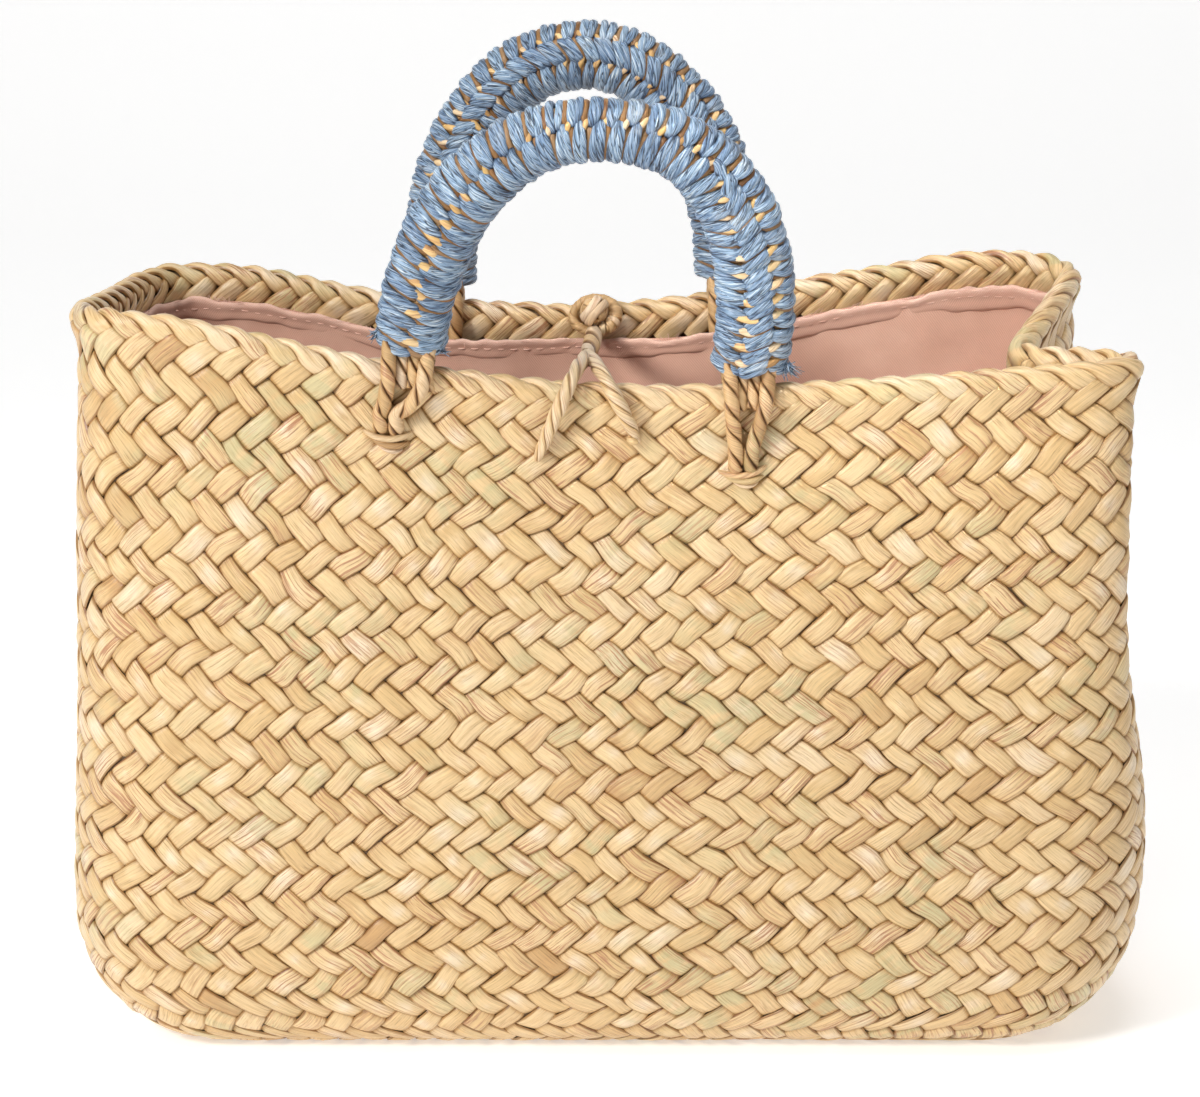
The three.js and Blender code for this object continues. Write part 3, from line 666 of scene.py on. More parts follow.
class Shader:
    """A material with a Principled shader and short calls to add and join nodes."""

    def __init__(self, name):
        self.material = bpy.data.materials.new(name)
        self.material.use_nodes = True
        self.tree = self.material.node_tree
        self.surface = self.tree.nodes["Principled BSDF"]

    def add(self, kind, inputs=None, **settings):
        """A new node with its settings, and its inputs set or joined."""
        node = self.tree.nodes.new(kind)
        for key, value in settings.items():
            setattr(node, key, value)
        self.fill(node, inputs or {})
        return node

    def fill(self, node, inputs):
        """Inputs of a node, set to a value or joined to an output."""
        for key, value in inputs.items():
            self.put(node.inputs[key], value)

    def put(self, socket, value):
        if isinstance(value, bpy.types.NodeSocket):
            self.tree.links.new(value, socket)
        else:
            socket.default_value = value

    def uv(self):
        return self.add("ShaderNodeUVMap", uv_map="UVMap").outputs[0]

    def place(self):
        return self.add("ShaderNodeTexCoord").outputs["Object"]

    def value(self, name):
        """An attribute of the mesh."""
        return self.add("ShaderNodeAttribute", attribute_name=name).outputs["Fac"]

    def maths(self, operation, first, second=0.0):
        return self.add("ShaderNodeMath", {0: first, 1: second}, operation=operation).outputs[0]

    def noise(self, vector, stretch, scale, detail=4.0, roughness=0.55):
        mapping = self.add("ShaderNodeMapping", {"Vector": vector, "Scale": stretch}).outputs[0]
        inputs = {"Vector": mapping, "Scale": scale, "Detail": detail, "Roughness": roughness}
        return self.add("ShaderNodeTexNoise", inputs).outputs["Fac"]

    def ramp(self, factor, stops):
        """Colours by a factor, eased between the stops."""
        node = self.add("ShaderNodeValToRGB", {"Fac": factor})
        node.color_ramp.interpolation = "EASE"
        elements = node.color_ramp.elements
        while len(elements) < len(stops):
            elements.new(0.5)
        for element, (position, colour) in zip(elements, stops):
            element.position = position
            element.color = (*colour, 1)
        return node.outputs["Color"]

    def grey(self, factor, low, high):
        """A factor spread from 0 at low to 1 at high."""
        return self.ramp(factor, ((low, (0, 0, 0)), (high, (1, 1, 1))))

    def mix(self, factor, first, second, blend="MIX"):
        node = self.add("ShaderNodeMix", data_type="RGBA", blend_type=blend)
        for socket, value in ((node.inputs[0], factor), (node.inputs[6], first), (node.inputs[7], second)):
            if isinstance(value, tuple):
                value = (*value, 1)
            self.put(socket, value)
        return node.outputs[2]

    def times(self, colour, factors, share=1.0):
        """A colour multiplied by another one."""
        return self.mix(share, colour, factors, "MULTIPLY")

    def bump(self, height, strength, distance, below=None):
        inputs = {"Height": height, "Strength": strength, "Distance": distance}
        if below is not None:
            inputs["Normal"] = below
        return self.add("ShaderNodeBump", inputs).outputs["Normal"]

    def between(self, value, low, high):
        """A value from 0 to 1 spread between two others."""
        return self.add("ShaderNodeMapRange", {"Value": value, "To Min": low, "To Max": high}).outputs[0]


def straw_material(name, gloss, pale, mid, dark, green, streak):
    """Straw: tone picks the colour of a strip, long fibres run along the map, some strips are
    greenish, brown streaks run lengthwise. near paints shade on the long edges, and tuck paints shade
    on the ends that go under others and in seams, creases and recesses; the palest tone stop also
    serves the painted highlight spot of the strips."""
    shader = Shader(name)
    uv, place = shader.uv(), shader.place()
    coarse = shader.noise(uv, (0.05, 1.0, 1.0), 0.85, 4.0, 0.6)
    fibre = shader.noise(uv, (0.04, 1.0, 1.0), 2.1, 4.0, 0.6)
    fine = shader.noise(uv, (0.08, 1.0, 1.0), 6.0, 3.0, 0.6)
    # shine is the palest tone stop; the painted highlight spot on the strips reaches it.
    shine = tuple(0.75 * part + 0.25 for part in pale)
    colour = shader.ramp(shader.value("tone"), ((0.0, dark), (0.15, mid), (0.5, pale), (1.0, shine)))
    blotch = shader.grey(shader.noise(place, (1.0, 1.0, 1.6), 14.0, 2.0), 0.42, 0.62)
    band = shader.grey(shader.noise(uv, (0.3, 0.12, 1.0), 0.5, 2.0), 0.35, 0.6)
    greenness = shader.maths("MULTIPLY", shader.maths("MULTIPLY", shader.value("green"), blotch), band)
    colour = shader.mix(greenness, colour, green)
    patch = shader.grey(shader.noise(uv, (0.12, 0.5, 1.0), 0.8, 3.0, 0.6), 0.52, 0.8)
    colour = shader.mix(shader.maths("MULTIPLY", patch, 0.6), colour, dark)
    stops = ((0.3, (0.8, 0.74, 0.64)), (0.5, (1, 1, 1)), (0.7, (1.12, 1.12, 1.1)))
    colour = shader.times(colour, shader.ramp(coarse, stops), 0.85)
    lines = shader.grey(shader.noise(uv, (0.035, 1.0, 1.0), 1.3, 3.0, 0.6), 0.52, 0.6)
    colour = shader.mix(shader.maths("MULTIPLY", lines, shader.value("brown")), colour, streak)
    stops = ((0.3, (0.6, 0.53, 0.43)), (0.45, (0.97, 0.96, 0.95)), (0.7, (1.14, 1.13, 1.1)))
    colour = shader.times(colour, shader.ramp(fibre, stops), 0.95)
    # Painted shade along the long edges of the strips, by near.
    stops = ((0.7, (1.02, 1.02, 1.02)), (1.0, (0.54, 0.42, 0.29)))
    colour = shader.times(colour, shader.ramp(shader.value("near"), stops))
    # Painted shade by tuck: ends that go under, corners, seams, creases and undersides.
    stops = ((0.0, (1, 1, 1)), (0.5, (0.8, 0.7, 0.56)), (1.0, (0.27, 0.18, 0.11)))
    colour = shader.times(colour, shader.ramp(shader.value("tuck"), stops))
    ridge = shader.bump(shader.maths("ADD", fibre, coarse), 0.5, 0.00055)
    inputs = {
        "Base Color": colour,
        "Roughness": shader.between(fine, gloss - 0.1, gloss + 0.12),
        "Specular IOR Level": 0.6,
        "Normal": shader.bump(fine, 0.35, 0.0002, ridge),
    }
    shader.fill(shader.surface, inputs)
    return shader.material


def make_raffia():
    """Dyed raffia: fibres along the map, from deep blue to pale. The deep end is painted shade and the
    pale end a painted highlight, as in grooves and on crests, though the fibre noise places them, not
    the shape.
    """
    shader = Shader("blue_raffia")
    uv = shader.uv()
    fibre = shader.noise(uv, (0.05, 1.0, 1.0), 1.9, 4.0, 0.65)
    fine = shader.noise(uv, (0.08, 1.0, 1.0), 5.0, 3.0, 0.6)
    # The deep end of the fibre ramp is painted shade and its palest stop a painted highlight.
    deep, blue, light = (0.025, 0.045, 0.09), (0.17, 0.28, 0.45), (0.36, 0.51, 0.7)
    stops = ((0.34, deep), (0.42, blue), (0.52, light), (0.63, (0.74, 0.84, 0.92)))
    colour = shader.ramp(fibre, stops)
    # Painted shade: near-black splits between the fibres.
    split = shader.maths("SUBTRACT", shader.noise(uv, (0.07, 1.0, 1.0), 0.62, 2.0), 0.5)
    stops = ((0.006, (0.92, 0.92, 0.92)), (0.03, (0, 0, 0)))
    split = shader.ramp(shader.maths("ABSOLUTE", split), stops)
    colour = shader.mix(split, colour, (0.02, 0.03, 0.055))
    paleness = shader.grey(shader.noise(shader.place(), (1.0, 1.0, 1.0), 45.0, 3.0), 0.54, 0.72)
    paleness = shader.maths("MULTIPLY", paleness, shader.grey(fine, 0.42, 0.62))
    colour = shader.mix(paleness, colour, (0.76, 0.82, 0.86))
    stops = ((0.0, (0.72, 0.75, 0.8)), (1.0, (1.12, 1.1, 1.06)))
    colour = shader.times(colour, shader.ramp(shader.value("tone"), stops))
    # Painted shade by tuck: the undersides of strands and the deeper ones go dark.
    stops = ((0.0, (1, 1, 1)), (0.4, (0.66, 0.7, 0.78)), (0.9, (0.08, 0.09, 0.13)))
    colour = shader.times(colour, shader.ramp(shader.value("tuck"), stops))
    inputs = {
        "Base Color": colour,
        "Roughness": shader.between(fine, 0.25, 0.45),
        "Specular IOR Level": 0.5,
        "Normal": shader.bump(fine, 0.5, 0.0003, shader.bump(fibre, 1.0, 0.0012)),
    }
    shader.fill(shader.surface, inputs)
    return shader.material


def make_cloth():
    """Twill cloth: fine slanting ribs on the map, pale places by paleness, and painted shade by tuck in
    soft creases and dim places.
    """
    shader = Shader("pink_twill")
    uv = shader.uv()
    slant = (0, 0, math.radians(38))
    mapping = shader.add("ShaderNodeMapping", {"Vector": uv, "Rotation": slant}).outputs[0]
    inputs = {"Vector": mapping, "Scale": 0.42, "Distortion": 0.5, "Detail": 1.0, "Detail Scale": 3.0}
    ribs = shader.add("ShaderNodeTexWave", inputs).outputs["Fac"]
    threads = shader.noise(uv, (1.0, 1.0, 1.0), 2.2, 3.0, 0.6)
    cloud = shader.noise(shader.place(), (1.0, 1.0, 1.0), 22.0, 4.0, 0.6)
    stops = ((0.3, (0.76, 0.455, 0.345)), (0.5, (0.84, 0.515, 0.39)), (0.7, (0.89, 0.57, 0.44)))
    colour = shader.ramp(cloud, stops)
    stops = ((0.0, (0.7, 0.66, 0.64)), (1.0, (1.12, 1.1, 1.1)))
    colour = shader.times(colour, shader.ramp(ribs, stops), 0.35)
    paleness = shader.maths("MULTIPLY", shader.value("paleness"), shader.grey(threads, 0.42, 0.62))
    colour = shader.mix(paleness, colour, (0.88, 0.66, 0.57))
    # Painted shade by tuck: the hem's crease, the lower lining and its left end.
    stops = ((0.0, (1, 1, 1)), (1.0, (0.45, 0.38, 0.36)))
    inputs = {
        "Base Color": shader.times(colour, shader.ramp(shader.value("tuck"), stops)),
        "Roughness": 0.86,
        "Specular IOR Level": 0.2,
        "Sheen Weight": 0.25,
        "Normal": shader.bump(threads, 0.3, 0.0002, shader.bump(ribs, 0.5, 0.00025)),
    }
    shader.fill(shader.surface, inputs)
    return shader.material


@functools.cache
def material_of(name):
    """A material by name, made once."""
    if name in STRAWS:
        return straw_material(*STRAWS[name])
    return make_raffia() if name == "raffia" else make_cloth()


# Settings


class WeaveSettings(bpy.types.PropertyGroup):
    """How the strips of the wall and the base are laid."""

    columns: bpy.props.IntProperty(
        name="Columns", description="Strips of one direction round the bag", default=88, min=40
    )
    row_count: bpy.props.FloatProperty(
        name="Rows", description="Quarter rows from the wall top to the base", default=53.0
    )
    first_row: bpy.props.FloatProperty(
        name="First row", description="Quarter rows that the top row is shifted down", default=-2.35
    )
    strip_width: bpy.props.FloatProperty(
        name="Strip width", description="Share of its cell that a strip fills", default=1.05, subtype="FACTOR"
    )
    crest: bpy.props.FloatProperty(
        name="Crest", description="Height of a strip over the wall, in millimetres", default=0.9
    )
    tuck: bpy.props.FloatProperty(
        name="Tuck", description="Depth of a strip's ends under the others, in millimetres", default=1.9
    )
    seed: bpy.props.IntProperty(name="Seed", description=SEED_TEXT, default=11)


class EdgeSettings(bpy.types.PropertyGroup):
    """How the strands of the plaited edge are laid."""

    strands: bpy.props.IntProperty(
        name="Strands", description="Strands round the mouth on each side", default=88
    )
    strand_width: bpy.props.FloatProperty(
        name="Strand width", description="Half of it, in millimetres", default=4.1
    )
    seed: bpy.props.IntProperty(name="Seed", description=SEED_TEXT, default=11)


class LiningSettings(bpy.types.PropertyGroup):
    """How fine and how folded the cloth is, and where its hem lies."""

    around_steps: bpy.props.IntProperty(name="Steps round", description="Columns of the cloth", default=420)
    up_steps: bpy.props.IntProperty(name="Steps up", description="Rows of the cloth", default=64)
    fold_depth: bpy.props.FloatProperty(
        name="Fold depth", description="Soft folds, in millimetres", default=0.9
    )
    hem_drop: bpy.props.FloatProperty(
        name="Hem drop", description="Of its top below the wall top, in millimetres", default=1.6
    )
    seed: bpy.props.IntProperty(name="Seed", description=SEED_TEXT, default=31)


class HandleSettings(bpy.types.PropertyGroup):
    """How close and how wide the wrapping of the handles is."""

    stitch: bpy.props.FloatProperty(
        name="Stitch", description="Length of a stitch along the handle, in millimetres", default=6.4
    )
    strand: bpy.props.FloatProperty(
        name="Strand", description="Half width of a raffia strand, in millimetres", default=1.62
    )
    seed: bpy.props.IntProperty(name="Seed", description=SEED_TEXT, default=47)


class CordSettings(bpy.types.PropertyGroup):
    """How the ropes and the legs of the closing cord are twisted."""

    twist: bpy.props.FloatProperty(
        name="Twist", description="Length of one turn of a rope, in millimetres", default=18.0
    )
    seam: bpy.props.FloatProperty(
        name="Seam", description="Length of one turn of a leg's seams, in millimetres", default=21.0
    )
    seed: bpy.props.IntProperty(name="Seed", description=SEED_TEXT, default=59)


class StageSettings(bpy.types.PropertyGroup):
    """Where the camera stands and looks."""

    focal_length: bpy.props.FloatProperty(
        name="Focal length",
        description="Of the camera, in millimetres",
        default=97.05,
        subtype="DISTANCE_CAMERA",
    )
    camera_place: bpy.props.FloatVectorProperty(
        name="Camera place",
        description="In metres",
        default=(-0.002, -1.25272, 0.53741),
        subtype="TRANSLATION",
        unit="LENGTH",
    )
    camera_aim: bpy.props.FloatVectorProperty(
        name="Camera aim",
        description="In metres",
        default=(-0.002, 0.0, 0.19),
        subtype="TRANSLATION",
        unit="LENGTH",
    )


# Pieces


def weave_points(settings, centre_x, centre_y, a, b, leaning, height):
    """Lattice places of strips to points on the wall, the turn and the rim of the base. From
    one end to the other, a from -1 to 1, a strip goes one column aside and two quarter rows down."""
    way = 1 if leaning else -1
    x = centre_x + way * (a - b) / 2
    run = (centre_y + a + b) * DROP_RUN[-1] / settings.row_count
    aside, down = drift(x, run, settings)
    x = x + aside
    run = run + down
    lower = smooth_step(np.interp(run, DROP_RUN, DROP_UPS) / TURN_SHARE)
    points = skin_at(x / settings.columns, run, height - (1 - lower) * (settings.crest + 0.5))
    past = np.clip(run - DROP_RUN[-1], 0, None)[..., None]
    return points - normalised(points * (1, 1, 0)) * past


def float_grid(count):
    """Shares along and across each strip, with the steps close near its ends and edges."""
    a = np.array(STRIP_ALONG)[None, :, None]
    b = np.array(STRIP_ACROSS)[None, None, :]
    return np.broadcast_arrays(a + np.zeros((count, 1, 1)), b)


def strip_shape(settings, a, b, rng):
    """Height of strips over the wall: a shallow arch that drops at its ends below the strips that
    cross it, is a little round across, lies a little skew, and has sharp long edges."""
    pick = picker(rng, len(a))
    dip = smooth_step((np.abs(a) - 0.76) / 0.38)
    height = settings.crest + pick(-0.15, 0.15) - settings.tuck * dip - pick(0.35, 0.8) * a**2 * (1 - dip)
    height = height - pick(0.22, 0.6) * b**2 + pick(-0.24, 0.24) * b * (1 - dip) + pick(-0.15, 0.15) * a
    ridge = pick(0.0, 0.18)
    ridge = ridge * np.cos(np.clip((b - pick(-0.6, 0.6)) * 5, -np.pi, np.pi))
    return height + ridge * (1 - dip) - 0.8 * (np.abs(b) > 1), dip


def strip_values(rng, lines, a, b, dip):
    """Attributes of strips: tone, green and brown, part of them shared along a whole strip; tuck,
    painted shade by how deep it dips; and near, painted shade by how near its long edges a point is.
    The tone rises in a soft spot near the middle, a painted highlight, and the corners get more
    painted shade."""
    count = len(lines)
    shared = rng.uniform(0, 1, LINE_COUNT)[lines % LINE_COUNT]
    shared_green = rng.uniform(0, 1, LINE_COUNT)[lines % LINE_COUNT]
    pick = picker(rng, count)
    tone = 0.75 * np.clip(0.4 * shared + 0.6 * rng.uniform(0, 1, count), 0, 1)[:, None, None]
    # Painted highlight: a soft pale spot on each strip, added to its tone.
    spot = np.exp(-(((a - pick(-0.3, 0.3)) / 0.42) ** 2) - ((b - pick(-0.5, 0.3)) / 0.8) ** 2)
    # Painted shade in the corners, where the crossing strips leave dark gaps.
    corner = 0.38 * smooth_step((np.abs(a) - 0.6) / 0.3) * smooth_step((np.abs(b) - 0.5) / 0.4)
    return {
        "tone": np.clip(tone + pick(-0.1, 0.6) * spot, 0, 1),
        "green": np.clip(1.5 * shared_green - 0.45 + rng.uniform(-0.3, 0.3, count), 0, 0.8),
        "brown": np.clip(rng.uniform(-0.45, 1.0, count), 0, 0.9),
        # tuck and near are painted shade: at the ends that dip, in the corners and along the long edges.
        "tuck": np.maximum(dip, corner),
        "near": smooth_step((np.abs(b) - 0.5) / 0.5),
    }


def strip_uv(a, b, shift, slip=1.0):
    """The map of strips in millimetres, each on a place of its own."""
    return np.stack([a * STRIP_HALF_LENGTH + shift, b * STRIP_HALF_WIDTH + shift * slip], -1)


def make_weave(settings, leaning):
    """Strips of one direction of the 2/2 twill plait: each is a pillow two crossings long on a
    slanting lattice of columns round the bag and quarter rows down its wall."""
    rng = np.random.default_rng(settings.seed + leaning)
    way, offset, start = LATTICE[leaning]
    rows = np.arange(-4, settings.row_count + 8, 4) + offset + settings.first_row
    rows = rows[(rows > -0.6) & (rows < settings.row_count + 4.2)]
    columns = np.arange(settings.columns) + start
    centre_y, centre_x = (g.reshape(-1, 1, 1) for g in np.meshgrid(rows, columns, indexing="ij"))
    count = len(centre_x)
    pick = picker(rng, count)
    a, b = float_grid(count)
    height, dip = strip_shape(settings, a, b, rng)
    width = settings.strip_width * pick(0.92, 1.04) * (1 - 0.04 * np.abs(a) ** 4)
    across = b * 0.5 * width + pick(-0.06, 0.06) * (1 - a**2)
    points = weave_points(settings, centre_x, centre_y, a, across, leaning, height)
    uv = strip_uv(a, b, pick(0, 900), 1.7)
    lines = np.round(centre_y / 2 - way * centre_x).astype(int)[:, 0, 0]
    values = strip_values(rng, lines % settings.columns + 100 * leaning, a, b, dip)
    name = "plait_down_right" if leaning else "plait_up_right"
    return add_grids(name, points, uv, material_of("weave"), values, flip=not leaning)


def make_base(settings):
    """The plait of the flat base, its crests just above the resting plane: the lattice of the
    wall laid flat, in both directions, as far as the base's rounded outline."""
    rng = np.random.default_rng(settings.seed + 7)
    unit = DROP_RUN[-1] / settings.row_count
    half_x = BODY_LENGTH / 2 - TURN_INSET_ENDS
    half_y = BODY_DEPTH / 2 - TURN_INSET_SIDES
    radius = CORNER_RADIUS - TURN_INSET_SIDES
    parts = []
    for leaning in (1, 0):
        way, offset, start = LATTICE[leaning]
        ys = np.arange(-14, 14) * 4 + offset
        xs = np.arange(-16, 17) + start
        cy, cx = (g.reshape(-1, 1, 1) for g in np.meshgrid(ys, xs, indexing="ij"))
        gap_x = np.clip(np.abs(cx * BASE_COLUMN) - (half_x - radius), 0, None)
        gap_y = np.clip(np.abs(cy * unit) - (half_y - radius), 0, None)
        inside = (np.hypot(gap_x, gap_y) < radius - 1)[:, 0, 0]
        cy, cx = cy[inside], cx[inside]
        a, b = float_grid(len(cx))
        height, dip = strip_shape(settings, a, b, rng)
        across = b * 0.5 * settings.strip_width * (1 - 0.04 * np.abs(a) ** 4)
        x = cx + way * (a - across) / 2
        z = np.clip(settings.crest + 0.62 - height, 0.12, 2.2)
        grid = np.stack([x * BASE_COLUMN, -(cy + a + across) * unit, z], -1)
        if not leaning:
            grid, a, b, dip = (v[:, :, ::-1] for v in (grid, a, b, dip))
        uv = strip_uv(a, b, rng.uniform(0, 900, (len(cx), 1, 1)))
        parts.append((grid, uv, rng.integers(0, 4000, len(cx)), a, b, dip))
    points, uv, *rest = (np.concatenate(v) for v in zip(*parts))
    return add_grids("plait_base", points, uv, material_of("weave"), strip_values(rng, *rest), flip=True)


def make_under():
    """Painted shade under the plait: a dark smooth skin just inside the strips, closed over the base."""
    count = 260
    ups = np.concatenate([np.linspace(0, TURN_SHARE, 12, endpoint=False), np.linspace(TURN_SHARE, 1, 30)])
    around, up = np.meshgrid(np.arange(count) / count, ups)
    rings = wall_at(around, up, 0.95 + 1.0 * (1 - smooth_step(up / TURN_SHARE)))
    rings = close_base(rings, (0.02, 0.35, 0.7), 1.95)[None]
    uv = sheet_uv(np.arange(count + 1) * 4.0, np.arange(rings.shape[1]) * 6.0)
    return add_grids("plait_under", rings, uv, material_of("under"), UNDER_VALUES, around=True)


def close_base(rings, shares, height):
    """Rings of a wall with smaller copies of the lowest one before them, flat at a height."""
    shrink = np.array(shares)[:, None, None]
    return np.concatenate([rings[:1] * (1, 1, 0) * shrink + (0, 0, height), rings])


def make_edge(settings):
    """The plaited edge: each strand comes up inside, arcs over the crest and runs down outside,
    and both of its ends tuck under strips that lean the other way. A strand follows a line on the
    skin, given in columns along the edge and millimetres down from the wall top. It is round at
    the crest and flat on the wall, and a fold crosses it slantwise at the crest."""
    rng = np.random.default_rng(settings.seed)
    count = settings.strands
    pitch = run_of(edge_centre(np.linspace(0, 1, 401)))[-1] / count
    pick = picker(rng, count)
    share = np.linspace(0, 1, EDGE_ROWS)
    parts = []
    for table in (EDGE_STRAND, EDGE_LOWER):
        path = along_line(catmull_rom(np.array(table) * (pitch, 1, 1, 1), False, 12), share)
        way = normalised(np.gradient(path[:, :2], axis=0))
        along, drop, lift, wide = path.T[:, None, :, None]
        crest = np.exp(-(((drop + 13.4) / 4.6) ** 2))
        fold = np.clip(0.5 - 1.1 * share[None, :, None] + pick(-0.25, 0.3), -0.75, 0.75)
        rim = np.ones_like(fold)
        low, high = (fold - 1) / 2, (fold + 1) / 2
        b = [-1.02 * rim, -0.93 * rim, low, fold - 0.1, fold, fold + 0.1, high, 0.93 * rim, 1.02 * rim]
        b = np.concatenate(b, -1)
        crease = (np.arange(9) == 4) * crest * pick(0.25, 1.0)
        half = wide * pick(0.94, 1.06) * settings.strand_width
        middle = (np.arange(count) + 0.5)[:, None, None] * pitch
        x = middle + along - b * half * way[:, 1][None, :, None] + pick(-0.5, 0.5)
        run = drop + b * half * way[:, 0][None, :, None]
        dip = smooth_step((0.55 - lift) / 1.6)
        height = lift * (1 + pick(-0.12, 0.12) * crest) - (0.75 + 1.0 * crest) * b**2
        height = height - pick(0.1, 0.4) * b - 0.7 * (np.abs(b) > 1) - 0.55 * crease
        aside, _ = drift(x / pitch, run, settings)
        grid = skin_at(x / pitch / count + aside / count, run, height)
        shift = pick(0, 900)
        uv = np.stack([run_of(path[:, :2])[None, :, None] + shift + 0 * b, b * half + shift * 1.3], -1)
        # Painted shade for tuck: the sides of a strand at the crest, its fold, and the ends that go under.
        side = 0.6 * crest * smooth_step((np.abs(b) - 0.7) / 0.25)
        parts.append((grid, uv, b, np.maximum(np.maximum(dip, side), 0.85 * crease)))
    points, uv, across, dips = (np.concatenate(v) for v in zip(*parts))
    lines = rng.integers(0, 4000, len(points))
    values = strip_values(rng, lines, (2 * share - 1)[None, :, None], across, dips)
    values["tone"] = 0.25 + 0.75 * values["tone"]
    return add_grids("edge_strands", points, uv, material_of("weave"), values)


def make_edge_under():
    """Painted shade in the plaited edge: a thin dark ring under its strands."""
    count = 300
    centre, outward, upward = edge_frame(np.arange(count) / count)
    angle = turns_of(8)[:, None]
    rings = outward[:, None] * (3.6 * np.cos(angle)) + upward[:, None] * (3.9 * np.sin(angle))
    rings = (centre[:, None] + rings)[None]
    uv = sheet_uv(np.arange(count + 1) * 3.5, np.arange(9) * 3.0, "ij")
    under = material_of("under")
    return add_grids("edge_under", rings, uv, under, UNDER_VALUES, around=True, along=True, flip=True)


def lining_depth(around, up):
    """Distance of the lining inside the wall's outer face: it bulges over the ropes."""
    rise = smooth_step(2.5 * up / TURN_SHARE)
    bulge = 0
    for foot in foot_plans():
        reach = (away_from(around, foot["around"]) / BULGE_AROUND) ** 4
        reach = reach + (np.clip(foot["up"] - up, 0, None) / BULGE_TALL) ** 2
        bulge = np.maximum(bulge, np.exp(-reach))
    return WALL + FLOOR_GAP + (LINING_GAP - FLOOR_GAP) * rise + LINING_BULGE * bulge


def lining_at(around, up, inward):
    """A point at a distance inside the lining's place in the bag."""
    return wall_at(around, up, lining_depth(around, up) + inward)


def left_shade(points, share):
    """The dimness of the lining's left end, which the wall there keeps in the shade."""
    return share * (1 - smooth_step((points[..., 0] + 40) / 130))


def make_lining(settings):
    """The cloth lining: a skin inside the wall with soft folds, closed over the base."""
    count = settings.around_steps
    turn = np.linspace(0, TURN_SHARE, 12, endpoint=False)
    ups = np.concatenate([turn, np.linspace(TURN_SHARE, LINING_TOP, settings.up_steps)])
    around, up = np.meshgrid(np.arange(count) / count, ups)
    spots = wall_at(around, up, np.full_like(around, WALL))
    folds = noise_at(spots * (1, 1, 0.35), 46, settings.seed) + 0.5 * noise_at(spots, 21, settings.seed + 1)
    folds = np.clip(0.5 + 0.5 * folds, 0, 1.6) * settings.fold_depth * smooth_step(up * 3)
    rings = lining_at(around, up, 0.35 + folds)
    rings = close_base(rings, (0.01, 0.3, 0.6, 0.85), float(rings[0, :, 2].mean()))[None]
    run = np.concatenate([[0, 30, 60, 85], 100 + run_of(outside_at(0.0, ups))])
    uv = sheet_uv(np.arange(count + 1) / count * LINING_LENGTH, run)
    # Painted shade: the cloth darker towards the bottom of the bag, and at its left end.
    painted_low_shade = 0.8 * (1 - smooth_step(np.linspace(-0.1, 1.0, len(run))))[None, :, None]
    values = {"tuck": np.maximum(painted_low_shade, left_shade(rings, 0.42)), "paleness": 0}
    return add_grids("lining_cloth", rings, uv, material_of("cloth"), values, around=True, flip=True)


def make_hem(settings):
    """The folded hem: a flat roll round the top of the lining, with a stitched crease below it
    and frayed threads along its raw top."""
    rng = np.random.default_rng(settings.seed + 5)
    count = 520
    around = np.arange(count) / count
    spots = outside_at(around, 1)
    wave = noise_at(spots, 34, settings.seed + 6) * 0.9 + noise_at(spots, 9, settings.seed + 7) * 0.3
    top = 0.7 * noise_at(spots, 24, settings.seed + 8) + 0.4 * noise_at(spots, 7, settings.seed + 9)
    drop, stand, paleness, tuck = np.array(HEM_PROFILE).T[:, :, None]
    low = smooth_step(drop / 8)
    up = np.interp(settings.hem_drop + drop + top * (1 - low) + wave * low, DROP_RUN, DROP_UPS)
    swell = 0.35 * noise_at(spots, 12, settings.seed + 10) * smooth_step(stand - 0.5)
    rings = lining_at(around, up, stand + swell)[None]
    uv = sheet_uv(np.arange(count + 1) / count * LINING_LENGTH, np.arange(len(drop)) * 1.4)
    # Painted shade: the crease and lower edge of the hem, and its left end darker.
    values = {"tuck": tuck + left_shade(spots, 0.3), "paleness": paleness}
    hem = add_grids("lining_hem", rings, uv, material_of("cloth"), values, around=True)
    total = 900
    t = np.linspace(0, 1, 5)[None]
    place = rng.uniform(0, 1, (total, 1))
    tuft = noise_at(outside_at(place, 1), 16, settings.seed + 12)
    length = rng.uniform(0.5, 2.0, (total, 1)) * (0.5 + smooth_step(tuft))
    run = settings.hem_drop + 0.5 - length * t * rng.choice([1, 0.8, -0.9], (total, 1))
    slide = place + rng.normal(0, 0.0019, (total, 1)) * t**1.3
    lines = lining_at(slide, np.interp(run, DROP_RUN, DROP_UPS), 1.9 + rng.uniform(-0.6, 0.8, (total, 1)) * t)
    size = 0.17 * (1 - 0.6 * t) + 0 * run
    threads = add_tubes("hem_threads", lines, size, size, 4, "cloth", rng)
    stitches = 190
    place = np.arange(stitches)[:, None] / stitches + np.linspace(-0.0013, 0.0013, 6)
    up = np.interp(settings.hem_drop + 3.3 + 0.3 * np.sin(place * 170), DROP_RUN, DROP_UPS)
    lines = lining_at(place, up, 1.5 + 0.65 * np.sin(np.linspace(0, np.pi, 6)))
    wide, thick = 0.27 + 0 * place, 0.22 + 0 * place
    return hem, threads, add_tubes("hem_stitches", lines, wide, thick, 6, "cloth", rng)


